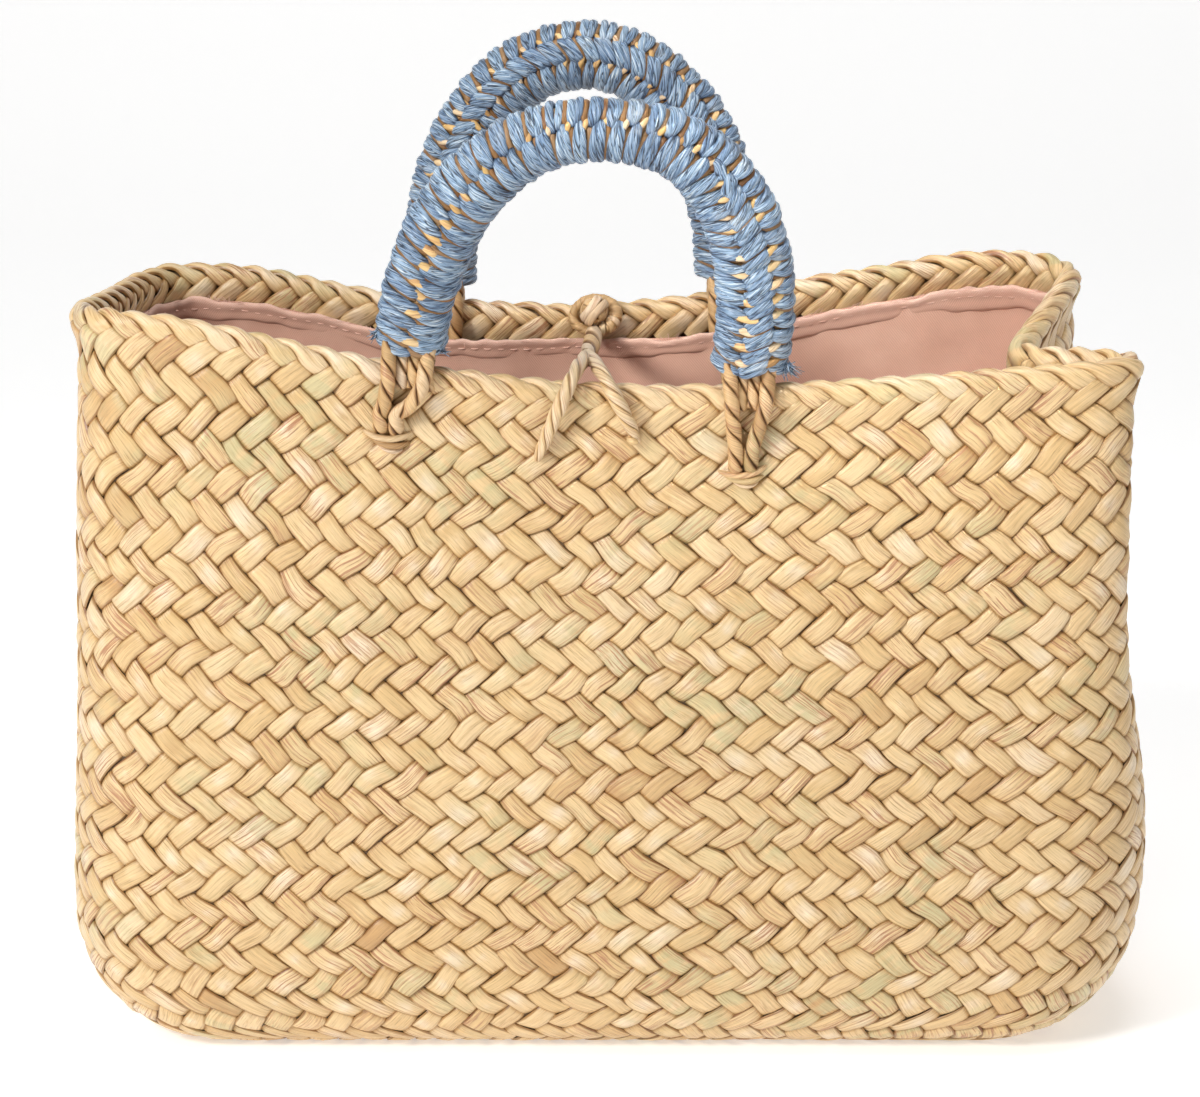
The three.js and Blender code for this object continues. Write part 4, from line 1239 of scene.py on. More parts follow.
def add_tubes(
    name, lines, wide, thick, sides, material, rng, frames=None, values=None, shape=1, skew=0.0
):
    """Closed tubes round lines in one mesh, with a tone for each."""
    _, side, rise = frames or line_frames(lines, (0.3, 0.2, 0.93))
    points = tube_points(lines, side, rise, wide, thick, sides, shape)
    uv = tube_uv(lines, sides, float(np.mean(wide) + np.mean(thick)) * np.pi, rng, skew)
    count = len(lines)
    marks = {
        "tone": rng.uniform(0, 1, count),
        "green": np.clip(rng.uniform(-1, 0.7, count), 0, 1),
        "brown": np.clip(rng.uniform(-0.5, 0.9, count), 0, 1),
        "tuck": 0,
        "paleness": 0.8,
        **(values or {}),
    }
    return add_grids(name, points, uv, material_of(material), marks, around=True, capped=True)


# Handles


def table_at(rows, column, at):
    """A value from a table by the share along, eased between its rows."""
    at = np.asarray(at, float)
    places = np.array([row[0] for row in rows], float)
    values = np.array([row[column] for row in rows], float)
    index = np.clip(np.searchsorted(places, at, side="right") - 1, 0, len(places) - 2)
    part = smooth_step((at - places[index]) / (places[index + 1] - places[index]))
    return values[index] + (values[index + 1] - values[index]) * part


def handle_frame(name):
    """A handle's middle line in the bag's frame, and its facing and upward directions."""
    row = HANDLES[name]

    def foot(share):
        place = edge_centre(around_at_x(share * MOUTH_LENGTH / 2, row["side"], 1))
        return place + (0, 0, EDGE_HEIGHT / 2 + FOOT_LIFT)

    left, right = foot(row["left"]), foot(row["right"])
    along = normalised(right - left)
    lean = math.radians(row["lean"])
    up = np.array([0, row["side"] * math.sin(lean), math.cos(lean)])
    up = normalised(up - along * (up @ along))
    half = np.linalg.norm(right - left) / 2
    angle = np.pi * (1 - np.arange(21) / 20)
    cosine = np.cos(angle)
    across = half * np.sign(cosine) * np.abs(cosine) ** (2 / row["bend"])
    high = row["rise"] * np.abs(np.sin(angle)) ** (2 / row["bend"])
    flat = catmull_rom(np.stack([across + row["sway"] * high, high], -1), False, 12)
    line = (left + right) / 2 + flat[:, :1] * along + flat[:, 1:] * up
    return {
        "name": name,
        "line": line,
        "length": run_of(line)[-1],
        "facing": np.cross(along, up),
        "side": row["side"],
        "along": along,
    }


@functools.cache
def handle_frames():
    """The frames of both handles by name, worked out once."""
    return {name: handle_frame(name) for name in HANDLES}


def handle_surface(handle, share, angle, inward):
    """Points on a handle's wrapping: share along it, angle round it from its facing side towards
    the outside of the arch, and a distance inside its surface."""
    share = np.asarray(share, float)
    held = np.clip(share, 0, 1)
    ahead = along_line(handle["line"], np.clip(held + 0.004, 0, 1))
    tangent = normalised(ahead - along_line(handle["line"], np.clip(held - 0.004, 0, 1)))
    centre = along_line(handle["line"], held)
    centre = centre + tangent * ((share - held) * handle["length"])[..., None]
    outward = np.cross(handle["facing"], tangent)
    rows = HANDLE_THICKNESS[handle["name"]]
    plane = table_at(rows, 1, held) / 2 - inward
    across = table_at(rows, 2, held) / 2 - inward
    sin, cos = np.sin(angle), np.cos(angle)
    point = centre + outward * (plane * sin)[..., None] + handle["facing"] * (across * cos)[..., None]
    normal = outward * (across * sin)[..., None] + handle["facing"] * (plane * cos)[..., None]
    return point, normalised(normal)


def wrap_paths(settings, handle, rng):
    """Shares, angles, depths, half widths and kinds of the strands round a handle: pairs of
    raffia from a ridge on the outer face round to a ridge at the back, drawn together at the
    ridges, with a strand of straw between one pair and the next."""
    count = int(round(handle["length"] / settings.stitch))
    stitch = 1 / count
    t = np.linspace(0, 1, WRAP_STEPS)[None]
    end = np.abs(2 * t - 1)
    start = np.clip(1 - t / 0.3, 0, 1) ** 1.2
    finish = np.clip((t - 0.74) / 0.26, 0, 1) ** 1.3
    tip = smooth_step((end - 0.55) / 0.4)
    ridges = RIDGES[handle["name"]]
    parts = []
    for kind in ("inner", "outer", "middle"):
        for pair in (-0.5, -0.19, 0.19):
            straw = pair == -0.5
            middle = (np.arange(count)[:, None] + 0.5) * stitch + rng.normal(0, 0.03, (count, 1)) * stitch
            low = np.radians(table_at(ridges, 1, middle))
            high = np.radians(table_at(ridges, 2, middle))
            gap = high - low
            legs = smooth_step((np.abs(middle - 0.5) - 0.18) / 0.22)
            wobble = rng.normal(0, 0.06, (count, 1))
            if kind == "inner":
                angle = low + 0.16 + wobble + (-np.pi - low - 0.16) * t
                lean = (0.25 + 0.3 * legs) * start - 0.3 * finish
            elif kind == "outer":
                angle = high - 0.16 + wobble + (np.pi - high + 0.16) * t
                lean = -(0.2 + 0.25 * legs) * start + 0.3 * finish
            else:
                angle = low - 0.08 + (gap + 0.16) * t
                lean = 0.5 - 1.0 * t
            narrow = 0.3 * tip if kind == "middle" else 0.62 * tip * (t < 0.5)
            share = middle + (lean + (pair if straw else pair * (1 - narrow))) * stitch
            depth = 1.3 + rng.normal(0, 0.14, (count, 1)) + 2.2 * smooth_step((end - 0.8) / 0.2)
            width = settings.strand * (1 - 0.25 * smooth_step((end - 0.7) / 0.3))
            width = width * rng.uniform(0.85, 1.12, (count, 1))
            if kind == "middle":
                depth = 1.2 + 2.0 * smooth_step((end - 0.5) / 0.5)
            if straw:
                depth = depth + STRAW_DEPTH
                width = width * 0.85
            keep = gap[:, 0] > (0.22 if kind == "middle" else -1)
            grids = np.broadcast_arrays(np.clip(share, 0.004, 0.996), angle, depth, width)
            parts.append([grid[keep] for grid in grids] + [np.full(int(keep.sum()), straw)])
    return [np.concatenate(v) for v in zip(*parts)]


def make_wrap(settings, handle):
    """The strands of a handle: tubes on its surface, wider along it than they are thick, with painted
    shade on their undersides, where they sink deeper and on the straw between the pairs. Returns the
    raffia and the straw between it."""
    rng = np.random.default_rng(settings.seed + (handle["side"] > 0))
    share, angle, depth, width, straw = wrap_paths(settings, handle, rng)
    lines, normal = handle_surface(handle, share, angle, depth)
    arch = np.sin(np.linspace(0, np.pi, WRAP_STEPS))[None, :, None]
    lines = lines + 0.22 * rng.normal(size=(len(lines), 1, 3)) * arch
    frames = frames_on(lines, normal)
    thick = 1.5 * rng.uniform(0.85, 1.12, (len(lines), 1)) + 0 * width
    turn = turns_of(10)
    ring = 1 + 0.12 * np.abs(np.sin(1.5 * turn + 0.6))
    # Painted shade on the underside of each strand, where it lies on the handle.
    under = 0.85 * smooth_step((0.2 - np.sin(turn)) / 0.6)
    # Painted shade where a strand sinks deeper, and dark shade on the straw between the pairs.
    tuck = smooth_step((depth - 1.7 - STRAW_DEPTH * straw[:, None]) / 1.9)
    tuck = np.maximum(tuck, 0.86 * straw[:, None])
    pieces = []
    for pick, name, material in ((~straw, "wrap_", "raffia"), (straw, "binding_", "core")):
        values = {"tuck": np.maximum(tuck[pick][:, :, None], under)}
        sizes = lines[pick], width[pick], thick[pick]
        own = [direction[pick] for direction in frames]
        pieces.append(add_tubes(name + handle["name"], *sizes, 10, material, rng, own, values, ring, 0.3))
    return pieces


def make_core(handle):
    """The straw under the raffia: a sleeve with lengthwise fibres."""
    share, angle = np.meshgrid(np.linspace(0.002, 0.998, 120), turns_of(24), indexing="ij")
    points, _ = handle_surface(handle, share, -angle, 2.75 + 0.25 * np.sin(angle * 9 + share * 60))
    uv = sheet_uv(np.arange(120) * 2.2, np.arange(25) * 3.0, "ij")
    # Painted shade: the sleeve is darker, lying under the raffia.
    values = {"tone": 0.6, "green": 0, "brown": 0.5, "tuck": 0.45}
    name = "core_" + handle["name"]
    return add_grids(name, points[None], uv, material_of("core"), values, around=True, capped=True)


def make_lenses(settings, handle):
    """Straw pads that fill the openings between the stitches on the legs of a handle."""
    rng = np.random.default_rng(settings.seed + 9 + handle["side"])
    count = int(round(handle["length"] / settings.stitch))
    stitch = 1 / count
    t = np.linspace(-1, 1, 13)[None]
    ridges = RIDGES[handle["name"]]
    parts = []
    for column, lean in ((1, 0.5), (2, -0.45)):
        middle = (np.arange(count)[:, None] + 1.0) * stitch + rng.normal(0, 0.08, (count, 1)) * stitch
        ridge = np.radians(table_at(ridges, column, middle))
        other = np.radians(table_at(ridges, 3 - column, middle))
        legs = smooth_step((np.abs(middle - 0.5) - 0.15) / 0.2)
        size = rng.uniform(0.24, 0.36, (count, 1)) + rng.uniform(0.05, 0.3, (count, 1)) * legs
        share = middle + lean * 0.5 * stitch * t
        angle = ridge + rng.normal(0, 0.08, (count, 1)) + size * t
        apart = (column == 1) | (np.abs(ridge - other)[:, 0] > 0.2)
        keep = (rng.uniform(0, 1, count) < 0.85) & apart & (middle[:, 0] < 0.985)
        body = (1 - 0.7 * np.abs(t) ** 2.5) * (0.8 + 0.35 * legs)
        depth = 1.45 - 0.25 * legs + 0.9 * t**2 + rng.normal(0, 0.15, (count, 1))
        parts.append([grid[keep] for grid in (share, angle, depth, body)])
    share, angle, depth, body = (np.concatenate(v) for v in zip(*parts))
    lines, normal = handle_surface(handle, np.clip(share, 0.004, 0.996), angle, depth)
    # Painted shade at the thin ends of each pad, where it goes under the stitches.
    values = {"tuck": 0.5 * (1 - np.clip(body, 0, 1))[:, :, None]}
    frames = frames_on(lines, normal)
    name = "lens_" + handle["name"]
    return add_tubes(name, lines, 1.4 * body, 1.2 * body, 10, "core", rng, frames, values, skew=0.3)


def make_frays(settings):
    """Loose raffia ends: fans of short flat fibres at the feet of the front handle."""
    rng = np.random.default_rng(settings.seed + 21)
    lines = []
    t = np.linspace(0, 1, 7)[:, None]
    for share, degrees, count, way, length in FRAYS:
        angle = np.radians(degrees)
        root, _ = handle_surface(handle_frames()["front"], np.array(share), angle, 0.8)
        for _ in range(count):
            direction = normalised(np.array(way) + rng.normal(0, 0.28, 3))
            bend = rng.normal(0, 0.22, 3) * length
            start = root + rng.normal(0, 0.7, 3)
            lines.append(start + direction * t * length * rng.uniform(0.55, 1.1) + bend * t**2)
    lines = np.array(lines)
    taper = (1 - 0.45 * t[:, 0])[None] + 0 * lines[:, :, 0]
    return add_tubes("raffia_ends", lines, 0.5 * taper, 0.2 * taper, 6, "raffia", rng)


# Ropes and the closing cord


@functools.cache
def foot_plans():
    """Where each foot's rope hole is: share of the way round and share up the wall."""
    plans = []
    for name, foot, shift, drop in FEET:
        row = HANDLES[name]
        side = row["side"]
        place = edge_centre(around_at_x(row[foot] * MOUTH_LENGTH / 2, side, 1))
        around = float(around_at_x(place[0] + shift, side, 1))
        plan = {"handle": name, "foot": foot, "side": side, "around": around}
        plans.append({**plan, "drop": drop, "up": up_at_drop(around, drop)})
    return plans


def rope_line(plan, way):
    """A rope's middle line: from the foot down outside the wall, through the hole and up inside."""
    handle = handle_frames()[plan["handle"]]
    side = plan["side"]
    line = handle["line"] if plan["foot"] == "left" else handle["line"][::-1]
    place = line[0]
    leg_up = normalised(line[1] - place)
    leg_along = np.cross(leg_up, handle["facing"])
    hole = outside_at(plan["around"], plan["up"])
    top_x, hole_x = way * ROPE_SPREAD, way * ROPE_HOLE_SPREAD
    outward = ROPE_RADIUS + ROPE_GAP
    inward = WALL + outward
    edge_out = (EDGE_THICKNESS - WALL) / 2 + outward
    reach = EDGE_THICKNESS / 2 + outward

    def at(x, drop, depth):
        around = float(around_at_x(x, side, plan["up"]))
        return wall_at(around, up_at_drop(around, drop), depth)

    def under(out, drop):
        spot = place + leg_along * top_x - leg_up * drop
        return spot + (0, side * out, 0)

    def beside(depth):
        x = place[0] + top_x + 0.2 * (hole[0] + hole_x - place[0] - top_x)
        return edge_centre(around_at_x(x, side, 1)) + (0, side * depth, 0)

    turn_x = hole[0] + hole_x
    mid_x = place[0] + top_x + 0.65 * (turn_x - place[0] - top_x)
    drop = plan["drop"]
    points = [
        under(ROPE_FOOT_OUT, SEAT_GAP - 2),
        under(ROPE_FOOT_OUT, ROPE_RADIUS),
        beside(reach),
        at(mid_x, drop * 0.3, -edge_out * 0.72),
        at(turn_x, drop - ROPE_RISE, -outward - 0.3),
        at(turn_x, drop + 0.2, -outward + 1.1),
        at(turn_x, drop + 2.2, WALL / 2),
        at(turn_x, drop + 0.2, inward - 1.1),
        at(turn_x, drop - ROPE_RISE, inward + 0.3),
        at(mid_x, drop * 0.3, inward + 2),
        beside(-reach),
        under(-ROPE_FOOT_OUT, ROPE_RADIUS),
        under(-ROPE_FOOT_OUT, SEAT_GAP - 2),
    ]
    return along_line(catmull_rom(points, False, 12), np.linspace(0, 1, 84))


def underside_shade(sides, share, start, width):
    """Painted shade round each ring of a strand: dark below start of the way up its inner side."""
    return {"tuck": share * smooth_step((start - np.sin(turns_of(sides))) / width)[None, None]}


def add_plies(name, lines, radius, twist, rng, start=(0.2, 1.0, 0.1), closed=False):
    """Two-ply twisted ropes round lines: each ply is an oval tube on a helix, with painted shade in the
    crease. The radius is one number or one for each point of a line."""
    _, side, rise = line_frames(lines, start)
    radius = np.broadcast_to(radius, lines.shape[:2])
    run = run_of(lines)
    turns = run / twist
    if closed:
        turns = run / run[:, -1:] * np.round(run[0, -1] / twist)
    angle = np.concatenate([-2 * np.pi * turns, -2 * np.pi * turns + np.pi])[..., None]
    rise = np.tile(side, (2, 1, 1)) * np.cos(angle) + np.tile(rise, (2, 1, 1)) * np.sin(angle)
    radius = np.tile(radius, (2, 1))
    lines = np.tile(lines, (2, 1, 1)) + rise * radius[..., None] * 0.48
    frames = frames_on(lines, rise, square=True)
    turn = turns_of(14)
    fold = 1 - 0.13 * np.exp(-(((turn - 1.25) / 0.22) ** 2)) - 0.1 * np.exp(-(((turn - 2.3) / 0.2) ** 2))
    wide, thick, values = 0.8 * radius, 0.53 * radius, underside_shade(14, 1, 0.5, 0.75)
    return add_tubes(name, lines, wide, thick, 14, "rope", rng, frames, values, fold, 0.45)


def make_inner_strands(settings):
    """Short strands between the ropes, from the foot of each handle down to the edge."""
    rng = np.random.default_rng(settings.seed + 3)
    lines = []
    for plan in foot_plans():
        handle = handle_frames()[plan["handle"]]
        side = plan["side"]
        place = handle["line"][0 if plan["foot"] == "left" else -1]
        for shift, low_shift, depth, low_depth in INNER_STRANDS:
            crest = edge_centre(around_at_x(place[0] + low_shift, side, 1))
            top = place + handle["along"] * shift + (0, side * depth, 3)
            low = crest + (0, side * low_depth, 1.5 - 3.5 * (low_depth > 0))
            line = np.array([top, (top + low) / 2 + (0, side * 0.4, 0), low])
            lines.append(along_line(line, np.linspace(0, 1, 26)))
    return add_plies("inner_strands", np.array(lines), 2.5, settings.twist, rng)


def make_hole_bars(settings):
    """Curved strips under each rope hole, their ends tucked into the plait."""
    rng = np.random.default_rng(settings.seed + 5)
    t = np.linspace(-1, 1, 25)
    lines, wides = [], []
    for plan in foot_plans():
        hole = outside_at(plan["around"], plan["up"])
        for lower, reach, lift, slant, wide in HOLE_BARS:
            around = around_at_x(hole[0] + reach * t, plan["side"], plan["up"])
            drop = plan["drop"] + lower - 2.4 * np.abs(t) ** 2 + slant * t
            up = np.interp(drop, DROP_RUN, DROP_UPS)
            lines.append(wall_at(around, up, -(lift + 0.6 - 2.6 * np.abs(t) ** 3)))
            wides.append(wide * (1 - 0.5 * np.abs(t) ** 3))
    wides = np.array(wides)
    ring = 1 - 0.1 * np.exp(-(((turns_of(14) - 1.3) / 0.3) ** 2))
    thick = 0.72 * wides
    return add_tubes("hole_bars", np.array(lines), wides, thick, 14, "rope", rng, shape=ring, skew=0.35)


def closure_frame():
    """The root of the knot, its axis (up and to the front), a direction square to that (up and to
    the back), the middle of the ring and the reach of the plaited edge."""
    tilt = math.radians(KNOT_TILT)
    axis = np.array([0, -math.cos(tilt), math.sin(tilt)])
    root = edge_centre(around_at_x(KNOT_X * MOUTH_LENGTH / 2, 1, 1))
    reach = max(EDGE_HEIGHT, EDGE_THICKNESS) / 2 / math.cos(math.pi / 8)
    return root, axis, np.cross(axis, ACROSS), root + axis * (reach + KNOT_GAP + RING_TUBE_RADIUS), reach


def make_knot(settings):
    """The knot: flat straw bands over an oval ball, a slanting group of them over another group
    that leans the other way, on a short stalk."""
    rng = np.random.default_rng(settings.seed + 7)
    root, axis, third, ring_centre, reach = closure_frame()
    centre = ring_centre + axis * (KNOT_RADIUS * KNOT_FLATNESS - 1)
    angle = np.linspace(0, 2 * np.pi, 49)
    lines = []
    for turn, tip, shift, less in KNOT_BANDS:
        first = np.cos(turn) * ACROSS + np.sin(turn) * third
        second = np.cos(tip) * axis + np.sin(tip) * np.cross(first, axis)
        second = normalised(second - first * (second @ first))
        size = KNOT_RADIUS - less
        ring = first * np.cos(angle)[:, None] + second * np.sin(angle)[:, None]
        ring = ring * math.sqrt(max(size**2 - shift**2, 1)) + np.cross(first, second) * shift
        ring = ring * (1 + 0.05 * np.sin(2 * angle + turn))[:, None]
        lines.append(centre + ring - axis * ((ring @ axis) * (1 - KNOT_FLATNESS))[:, None])
    lines = np.array(lines)
    rise = normalised(lines - centre)
    tangent = normalised(np.gradient(lines, axis=1))
    frames = tangent, np.cross(rise, tangent), rise
    full = np.ones(lines.shape[:2])
    # Painted shade on the inner side of each band, where it lies on the ball.
    values = underside_shade(12, 0.9, 0.5, 0.5)
    wide, thick = 1.85 * full, 0.8 * full
    bands = add_tubes("knot_bands", lines, wide, thick, 12, "rope", rng, frames, values, skew=0.2)
    stalk = np.linspace(root + axis * (reach * 0.5), centre, 16)[None]
    return bands, add_plies("knot_stalk", stalk, 2.6, 12, rng)


def make_ring(settings):
    """The ring of the closing cord: a two-ply rope bent to an oval, thick on the right and thin on
    the left, with flat turns of straw that bind it above the stem."""
    rng = np.random.default_rng(settings.seed + 13)
    _, axis, third, centre, _ = closure_frame()
    high = RING_RADIUS * 0.76

    def oval(angle, wide):
        return centre + ACROSS * (wide * np.cos(angle)) + third * (high * np.sin(angle) - 0.9)

    angle = np.linspace(0, 2 * np.pi, 161)[:, None]
    line = oval(angle, RING_RADIUS * (1.02 + 0.05 * np.sin(2 * angle)))
    line = line + axis * (0.8 * np.sin(angle + 0.5))
    radius = RING_TUBE_RADIUS * (0.93 + 0.2 * np.cos(angle - 0.2))
    rope = add_plies("closing_ring", line[None], radius.T, 8, rng, (0.0, 1.0, 0.1), True)
    t = np.linspace(0, 2 * np.pi, 25)[None, :, None]
    place = (np.linspace(-1.3, -0.15, 4) + rng.uniform(-0.05, 0.05, 4))[:, None, None]
    turn = place + 0.1 * t
    out = ACROSS * np.cos(turn) + third * np.sin(turn)
    rise = out * np.cos(t) + axis * np.sin(t)
    lines = oval(turn, RING_RADIUS) + rise * RING_TUBE_RADIUS
    frames = frames_on(lines, rise, square=True)
    full = np.ones(lines.shape[:2])
    # Painted shade on the inner side of each turn, where it lies on the ring.
    values = underside_shade(10, 0.9, 0.45, 0.6)
    wide, thick = 1.3 * full, 0.6 * full
    binding = add_tubes("ring_binding", lines, wide, thick, 10, "rope", rng, frames, values, skew=0.2)
    return rope, binding


def closure_lines():
    """Middle lines of the stem and of the two legs of the closing cord."""
    _, _, third, centre, reach = closure_frame()
    start = centre - third * RING_RADIUS
    top = edge_centre(0.0)[2] + reach + CORD_GAP + CORD_RADIUS
    join = np.array([CORD_JOIN[0] * MOUTH_LENGTH / 2, CORD_JOIN[1] * MOUTH_DEPTH / 2, (start[2] + top) / 2])
    stem = catmull_rom([start, (start + join) / 2 - (0, 0, 1), join], False, 20)
    legs = []
    for tip_share, edge_share, drop in CORD_TIPS:
        edge = edge_centre(around_at_x(edge_share * MOUTH_LENGTH / 2, -1, 1))
        around_reach = reach + CORD_GAP + CORD_RADIUS
        tip_x = tip_share * MOUTH_LENGTH / 2

        def over(degrees, to_tip):
            angle = math.radians(degrees)
            x = edge[0] + (tip_x - edge[0]) * to_tip
            y = edge[1] - around_reach * math.sin(angle)
            return np.array([x, y, edge[2] + around_reach * math.cos(angle)])

        beside = float(around_at_x(edge[0] + (tip_x - edge[0]) * 0.7, -1, 1))
        tip = float(around_at_x(tip_x, -1, 1))
        points = [
            join,
            over(0, 0),
            over(48, 0.18),
            over(90, 0.4),
            wall_at(beside, up_at_drop(beside, drop * 0.5), -CORD_RADIUS - CORD_GAP - 0.4),
            wall_at(tip, up_at_drop(tip, drop - 3), -CORD_RADIUS),
            wall_at(tip, up_at_drop(tip, drop), WALL * 0.4),
        ]
        legs.append(along_line(catmull_rom(points, False, 16), np.linspace(0, 1, 120)))
    return along_line(stem, np.linspace(0, 1, 48)), np.array(legs)


def seen_height(points):
    """How high points look from the camera's height."""
    angle = math.radians(CAMERA_RISE)
    return points[..., 1] * math.sin(angle) + points[..., 2] * math.cos(angle)


def make_cord(settings):
    """The stem is a two-ply rope; each leg is a straw strip wound in a spiral, narrow at its tip,
    with painted shade in the seam where one turn lies on the next. Seen from the front, the legs run
    straight from the stem to their tips and the seams stand evenly on them."""
    rng = np.random.default_rng(settings.seed + 11)
    stem, legs = closure_lines()
    thickness = STEM_RADIUS * (1.02 - 0.3 * smooth_step((np.linspace(0, 1, len(stem)) - 0.55) / 0.45))
    twisted = add_plies("closing_stem", stem[None], thickness[None], 52, rng)
    height = seen_height(legs)
    fallen = (height[:, :1] - height) / (height[:, :1] - height[:, -1:])
    legs[..., 0] = legs[:, :1, 0] + (legs[:, -1:, 0] - legs[:, :1, 0]) * np.clip(fallen, 0, 1)
    run = run_of(np.stack([legs[..., 0], seen_height(legs)], -1))[:, :, None]
    _, side, rise = line_frames(legs, (0.1, 1.0, 0.2))
    share = np.linspace(0, 1, legs.shape[1])[None, :, None]
    sides = 42
    turn = turns_of(sides)
    spun = turn - 2 * np.pi * run / settings.seam
    phase = (3 * turn[None, None] / (2 * np.pi)) % 1
    seam = np.exp(-((phase / 0.1) ** 2)) + np.exp(-(((1 - phase) / 0.08) ** 2))
    crease = np.exp(-(((phase - 0.55 - 0.1 * np.sin(run / 5)) / 0.07) ** 2)) * (0.6 + 0.4 * np.sin(run / 3))
    step = 0.93 + 0.15 * np.sin(np.pi * phase**0.8) - 0.14 * seam - 0.04 * crease
    taper = 1 - 0.5 * smooth_step((share - 0.84) / 0.16) - 0.12 * (1 - smooth_step(share / 0.12))
    radius = CORD_RADIUS * 0.86 * step * taper * (1 + 0.04 * np.sin(run / 3.1))
    out = side[:, :, None] * np.cos(spun)[..., None] + rise[:, :, None] * np.sin(spun)[..., None]
    points = legs[:, :, None] + radius[..., None] * out
    across = 17 * np.arange(sides + 1) / sides
    start = np.array([0, 300])[:, None, None]
    # Painted shade in the seams between turns and in the crease of each turn.
    values = {
        "tone": 0.5 + 0.45 * phase,
        "green": 0.1,
        "brown": [0.6, 0.7],
        "tuck": np.clip(seam + 0.35 * crease, 0, 1),
    }
    uv = np.stack([run + across * 0.3 + start, across + 0 * run + start], -1)
    wound = add_grids("closing_legs", points, uv, material_of("weave"), values, around=True, capped=True)
    tip = legs[1, -9] + (1.2, -1.6, -2.6)
    line = np.linspace(tip + (-4.2, 0.6, 1.4), tip, 11)[None]
    bulge = np.sin(np.linspace(0.45, 2.75, 11))[None]
    knob = add_tubes("closing_knob", line, 1.75 * bulge, 1.5 * bulge, 12, "weave", rng, skew=0.3)
    return twisted, wound, knob


# Stage


def aim_at(name, data, place, aim):
    """Adds a camera or a light to the scene at a place, turned to what it is aimed at."""
    holder = bpy.data.objects.new(name, data)
    bpy.context.scene.collection.objects.link(holder)
    holder.location = place
    holder.rotation_euler = (Vector(aim) - Vector(place)).to_track_quat("-Z", "Y").to_euler()
    return holder


def make_camera(settings):
    """The camera at the photo's angle."""
    camera = bpy.data.cameras.new("photo_camera")
    camera.lens = settings.focal_length
    camera.sensor_width = 36
    camera.clip_start = 0.05
    holder = aim_at("photo_camera", camera, settings.camera_place, settings.camera_aim)
    bpy.context.scene.camera = holder


def make_floor():
    """A pale floor that curves up behind the bag and glows a little, as lit studio paper does."""
    rows = 40
    run = np.linspace(-1, 1, rows)
    y = np.where(run < 0, -2600 + 4200 * (run + 1), 1600 + 900 * np.sin(run * np.pi / 2))
    z = np.where(run < 0, 0, 2600 * (1 - np.cos(run * np.pi / 2))) - 0.02
    points = np.stack(np.broadcast_arrays(np.linspace(-3000, 3000, 3), y[:, None], z[:, None]), -1)
    shader = Shader("studio_paper")
    inputs = {
        "Base Color": (0.93, 0.93, 0.93, 1),
        "Roughness": 0.95,
        "Specular IOR Level": 0.0,
        "Emission Color": (1, 1, 1, 1),
        "Emission Strength": 0.4,
    }
    shader.fill(shader.surface, inputs)
    uv = sheet_uv(np.arange(3) * 1.0, np.arange(rows) * 1.0)
    add_grids("studio_floor", points[None], uv, shader.material)


def add_light(name, place, aim, size, power, colour=(1, 1, 1), spread=180):
    """A round lamp of a size in metres and a power in watts."""
    light = bpy.data.lights.new(name, "AREA")
    light.spread = math.radians(spread)
    light.shape = "DISK"
    light.size = size
    light.energy = power
    light.color = colour
    aim_at(name, light, place, aim)


def make_lights():
    """Soft light from above the camera's left, a weaker one from the right, one from above, a
    narrow one into the right end of the mouth, and a bright room."""
    world = bpy.data.worlds.new("studio")
    bpy.context.scene.world = world
    world.use_nodes = True
    background = world.node_tree.nodes["Background"].inputs
    background["Color"].default_value = (1, 1, 1, 1)
    background["Strength"].default_value = 0.3
    add_light("key", (-1.0, -1.0, 1.0), (0, 0, 0.15), 0.4, 17.4, WARM)
    add_light("fill", (1.1, -0.9, 0.55), (0, 0, 0.15), 0.8, 1.5)
    add_light("top", (0.1, -0.3, 1.35), (0.05, 0.05, 0.2), 0.5, 5.5)
    add_light("mouth", (-0.2, -0.7, 0.9), (0.125, 0.06, 0.265), 0.15, 0.07, WARM, spread=20)


# Operators


class StrawBagOperator:
    """What every step shares: it builds its pieces in the scene, and it can be undone."""

    bl_options = {"REGISTER", "UNDO"}

    def execute(self, context):
        self.build(context.scene)
        return {"FINISHED"}


class STRAWBAG_OT_weave(StrawBagOperator, bpy.types.Operator):
    """Build the plaited wall and base of the bag"""

    bl_idname = "straw_bag.weave"
    bl_label = "Plaited wall"

    def build(self, scene):
        settings = scene.straw_bag_weave
        walls = make_weave(settings, 1), make_weave(settings, 0)
        for piece in (*walls, make_base(settings), make_under()):
            finish_piece(piece, "straw", "basket_body")


class STRAWBAG_OT_edge(StrawBagOperator, bpy.types.Operator):
    """Build the plaited edge round the mouth"""

    bl_idname = "straw_bag.edge"
    bl_label = "Plaited edge"

    def build(self, scene):
        finish_piece(make_edge(scene.straw_bag_edge), "straw", "plaited_edge")
        finish_piece(make_edge_under(), "straw", "plaited_edge")


class STRAWBAG_OT_lining(StrawBagOperator, bpy.types.Operator):
    """Build the cloth lining and its hem"""

    bl_idname = "straw_bag.lining"
    bl_label = "Lining"

    def build(self, scene):
        settings = scene.straw_bag_lining
        cloth = finish_piece(make_lining(settings), "cloth", "lining")
        hem = [finish_piece(piece, "cloth", "lining") for piece in make_hem(settings)]


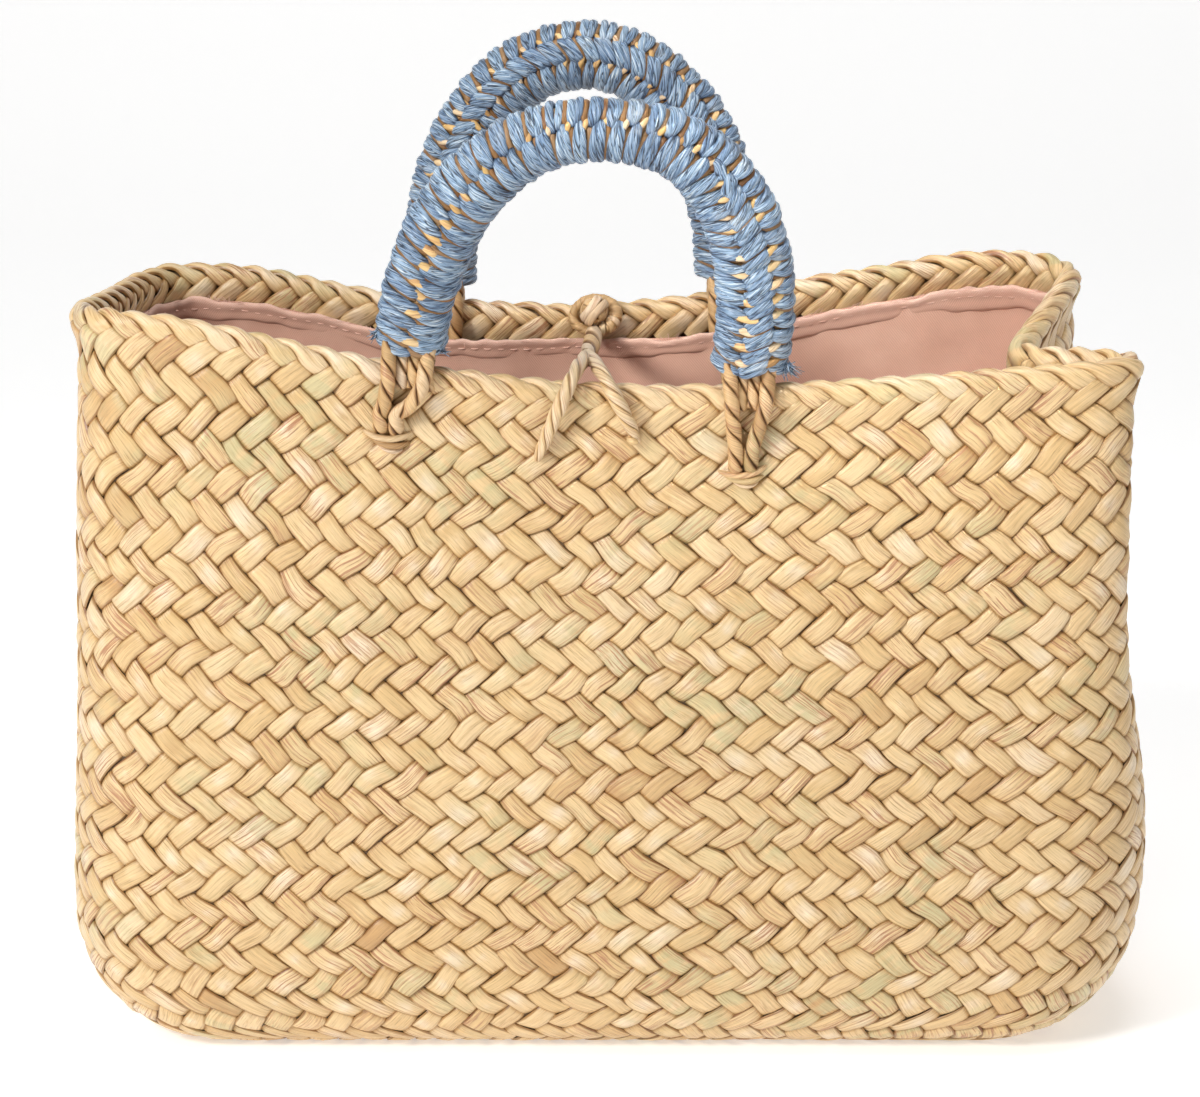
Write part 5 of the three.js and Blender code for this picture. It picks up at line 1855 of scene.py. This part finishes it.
class STRAWBAG_OT_handles(StrawBagOperator, bpy.types.Operator):
    """Build both wrapped handles"""

    bl_idname = "straw_bag.handles"
    bl_label = "Handles"

    def build(self, scene):
        settings = scene.straw_bag_handles
        for name, handle in handle_frames().items():
            raffia, binding = make_wrap(settings, handle)
            finish_piece(raffia, "raffia", "handle_" + name + "_wrap")
            for piece in (binding, make_core(handle), make_lenses(settings, handle)):
                finish_piece(piece, "straw", "handle_" + name + "_core")
        finish_piece(make_frays(settings), "raffia")


class STRAWBAG_OT_cords(StrawBagOperator, bpy.types.Operator):
    """Build the handle ropes, the knot and the closing cord"""

    bl_idname = "straw_bag.cords"
    bl_label = "Ropes and cord"

    def build(self, scene):
        settings = scene.straw_bag_cords
        rng = np.random.default_rng(settings.seed)
        for plan in foot_plans():
            for way, label in ((-1, "a"), (1, "b")):
                name = "_".join((plan["handle"], plan["foot"], label))
                line = rope_line(plan, way)[None]
                rope = add_plies("twist_" + name, line, ROPE_RADIUS * 1.2, settings.twist, rng)
                finish_piece(rope, "cord", "rope_" + name)
        finish_piece(make_inner_strands(settings), "cord")
        finish_piece(make_hole_bars(settings), "cord")
        for piece in make_knot(settings):
            finish_piece(piece, "cord", "closing_knot")
        for piece in (*make_ring(settings), *make_cord(settings)):
            finish_piece(piece, "cord", "closing_cord")


class STRAWBAG_OT_stage(StrawBagOperator, bpy.types.Operator):
    """Build the floor, the lights and the camera"""

    bl_idname = "straw_bag.stage"
    bl_label = "Studio"

    def build(self, scene):
        make_camera(scene.straw_bag_stage)
        make_floor()
        make_lights()
        scene.view_settings.view_transform = "Standard"


class STRAWBAG_PT_panel(bpy.types.Panel):
    """One box for each step, with its button and its settings"""

    bl_idname = "STRAWBAG_PT_panel"
    bl_label = "Straw bag"
    bl_space_type = "VIEW_3D"
    bl_region_type = "UI"
    bl_category = "Straw bag"

    def draw(self, context):
        for operator, group in STEPS:
            box = self.layout.box()
            box.operator(operator.bl_idname)
            settings = getattr(context.scene, group)
            for name in settings.__annotations__:
                box.prop(settings, name)


STEPS = (
    (STRAWBAG_OT_stage, "straw_bag_stage"),
    (STRAWBAG_OT_cords, "straw_bag_cords"),
    (STRAWBAG_OT_weave, "straw_bag_weave"),
    (STRAWBAG_OT_edge, "straw_bag_edge"),
    (STRAWBAG_OT_lining, "straw_bag_lining"),
    (STRAWBAG_OT_handles, "straw_bag_handles"),
)
GROUPS = {
    "straw_bag_stage": StageSettings,
    "straw_bag_cords": CordSettings,
    "straw_bag_weave": WeaveSettings,
    "straw_bag_edge": EdgeSettings,
    "straw_bag_lining": LiningSettings,
    "straw_bag_handles": HandleSettings,
}


def register():
    """Adds the settings, the operators and the panel."""
    for name, group in GROUPS.items():
        bpy.utils.register_class(group)
        setattr(bpy.types.Scene, name, bpy.props.PointerProperty(type=group))
    for operator, _ in STEPS:
        bpy.utils.register_class(operator)
    bpy.utils.register_class(STRAWBAG_PT_panel)


def unregister():
    """Takes them away again, in the opposite order."""
    bpy.utils.unregister_class(STRAWBAG_PT_panel)
    for operator, _ in reversed(STEPS):
        bpy.utils.unregister_class(operator)
    for name, group in reversed(GROUPS.items()):
        delattr(bpy.types.Scene, name)
        bpy.utils.unregister_class(group)


def main():
    """Builds the stage and the bag."""
    register()
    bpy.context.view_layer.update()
    bpy.ops.straw_bag.stage()
    bpy.ops.straw_bag.cords()
    bpy.ops.straw_bag.weave()
    bpy.ops.straw_bag.edge()
    bpy.ops.straw_bag.lining()
    bpy.ops.straw_bag.handles()


if __name__ == "__main__":
    main()
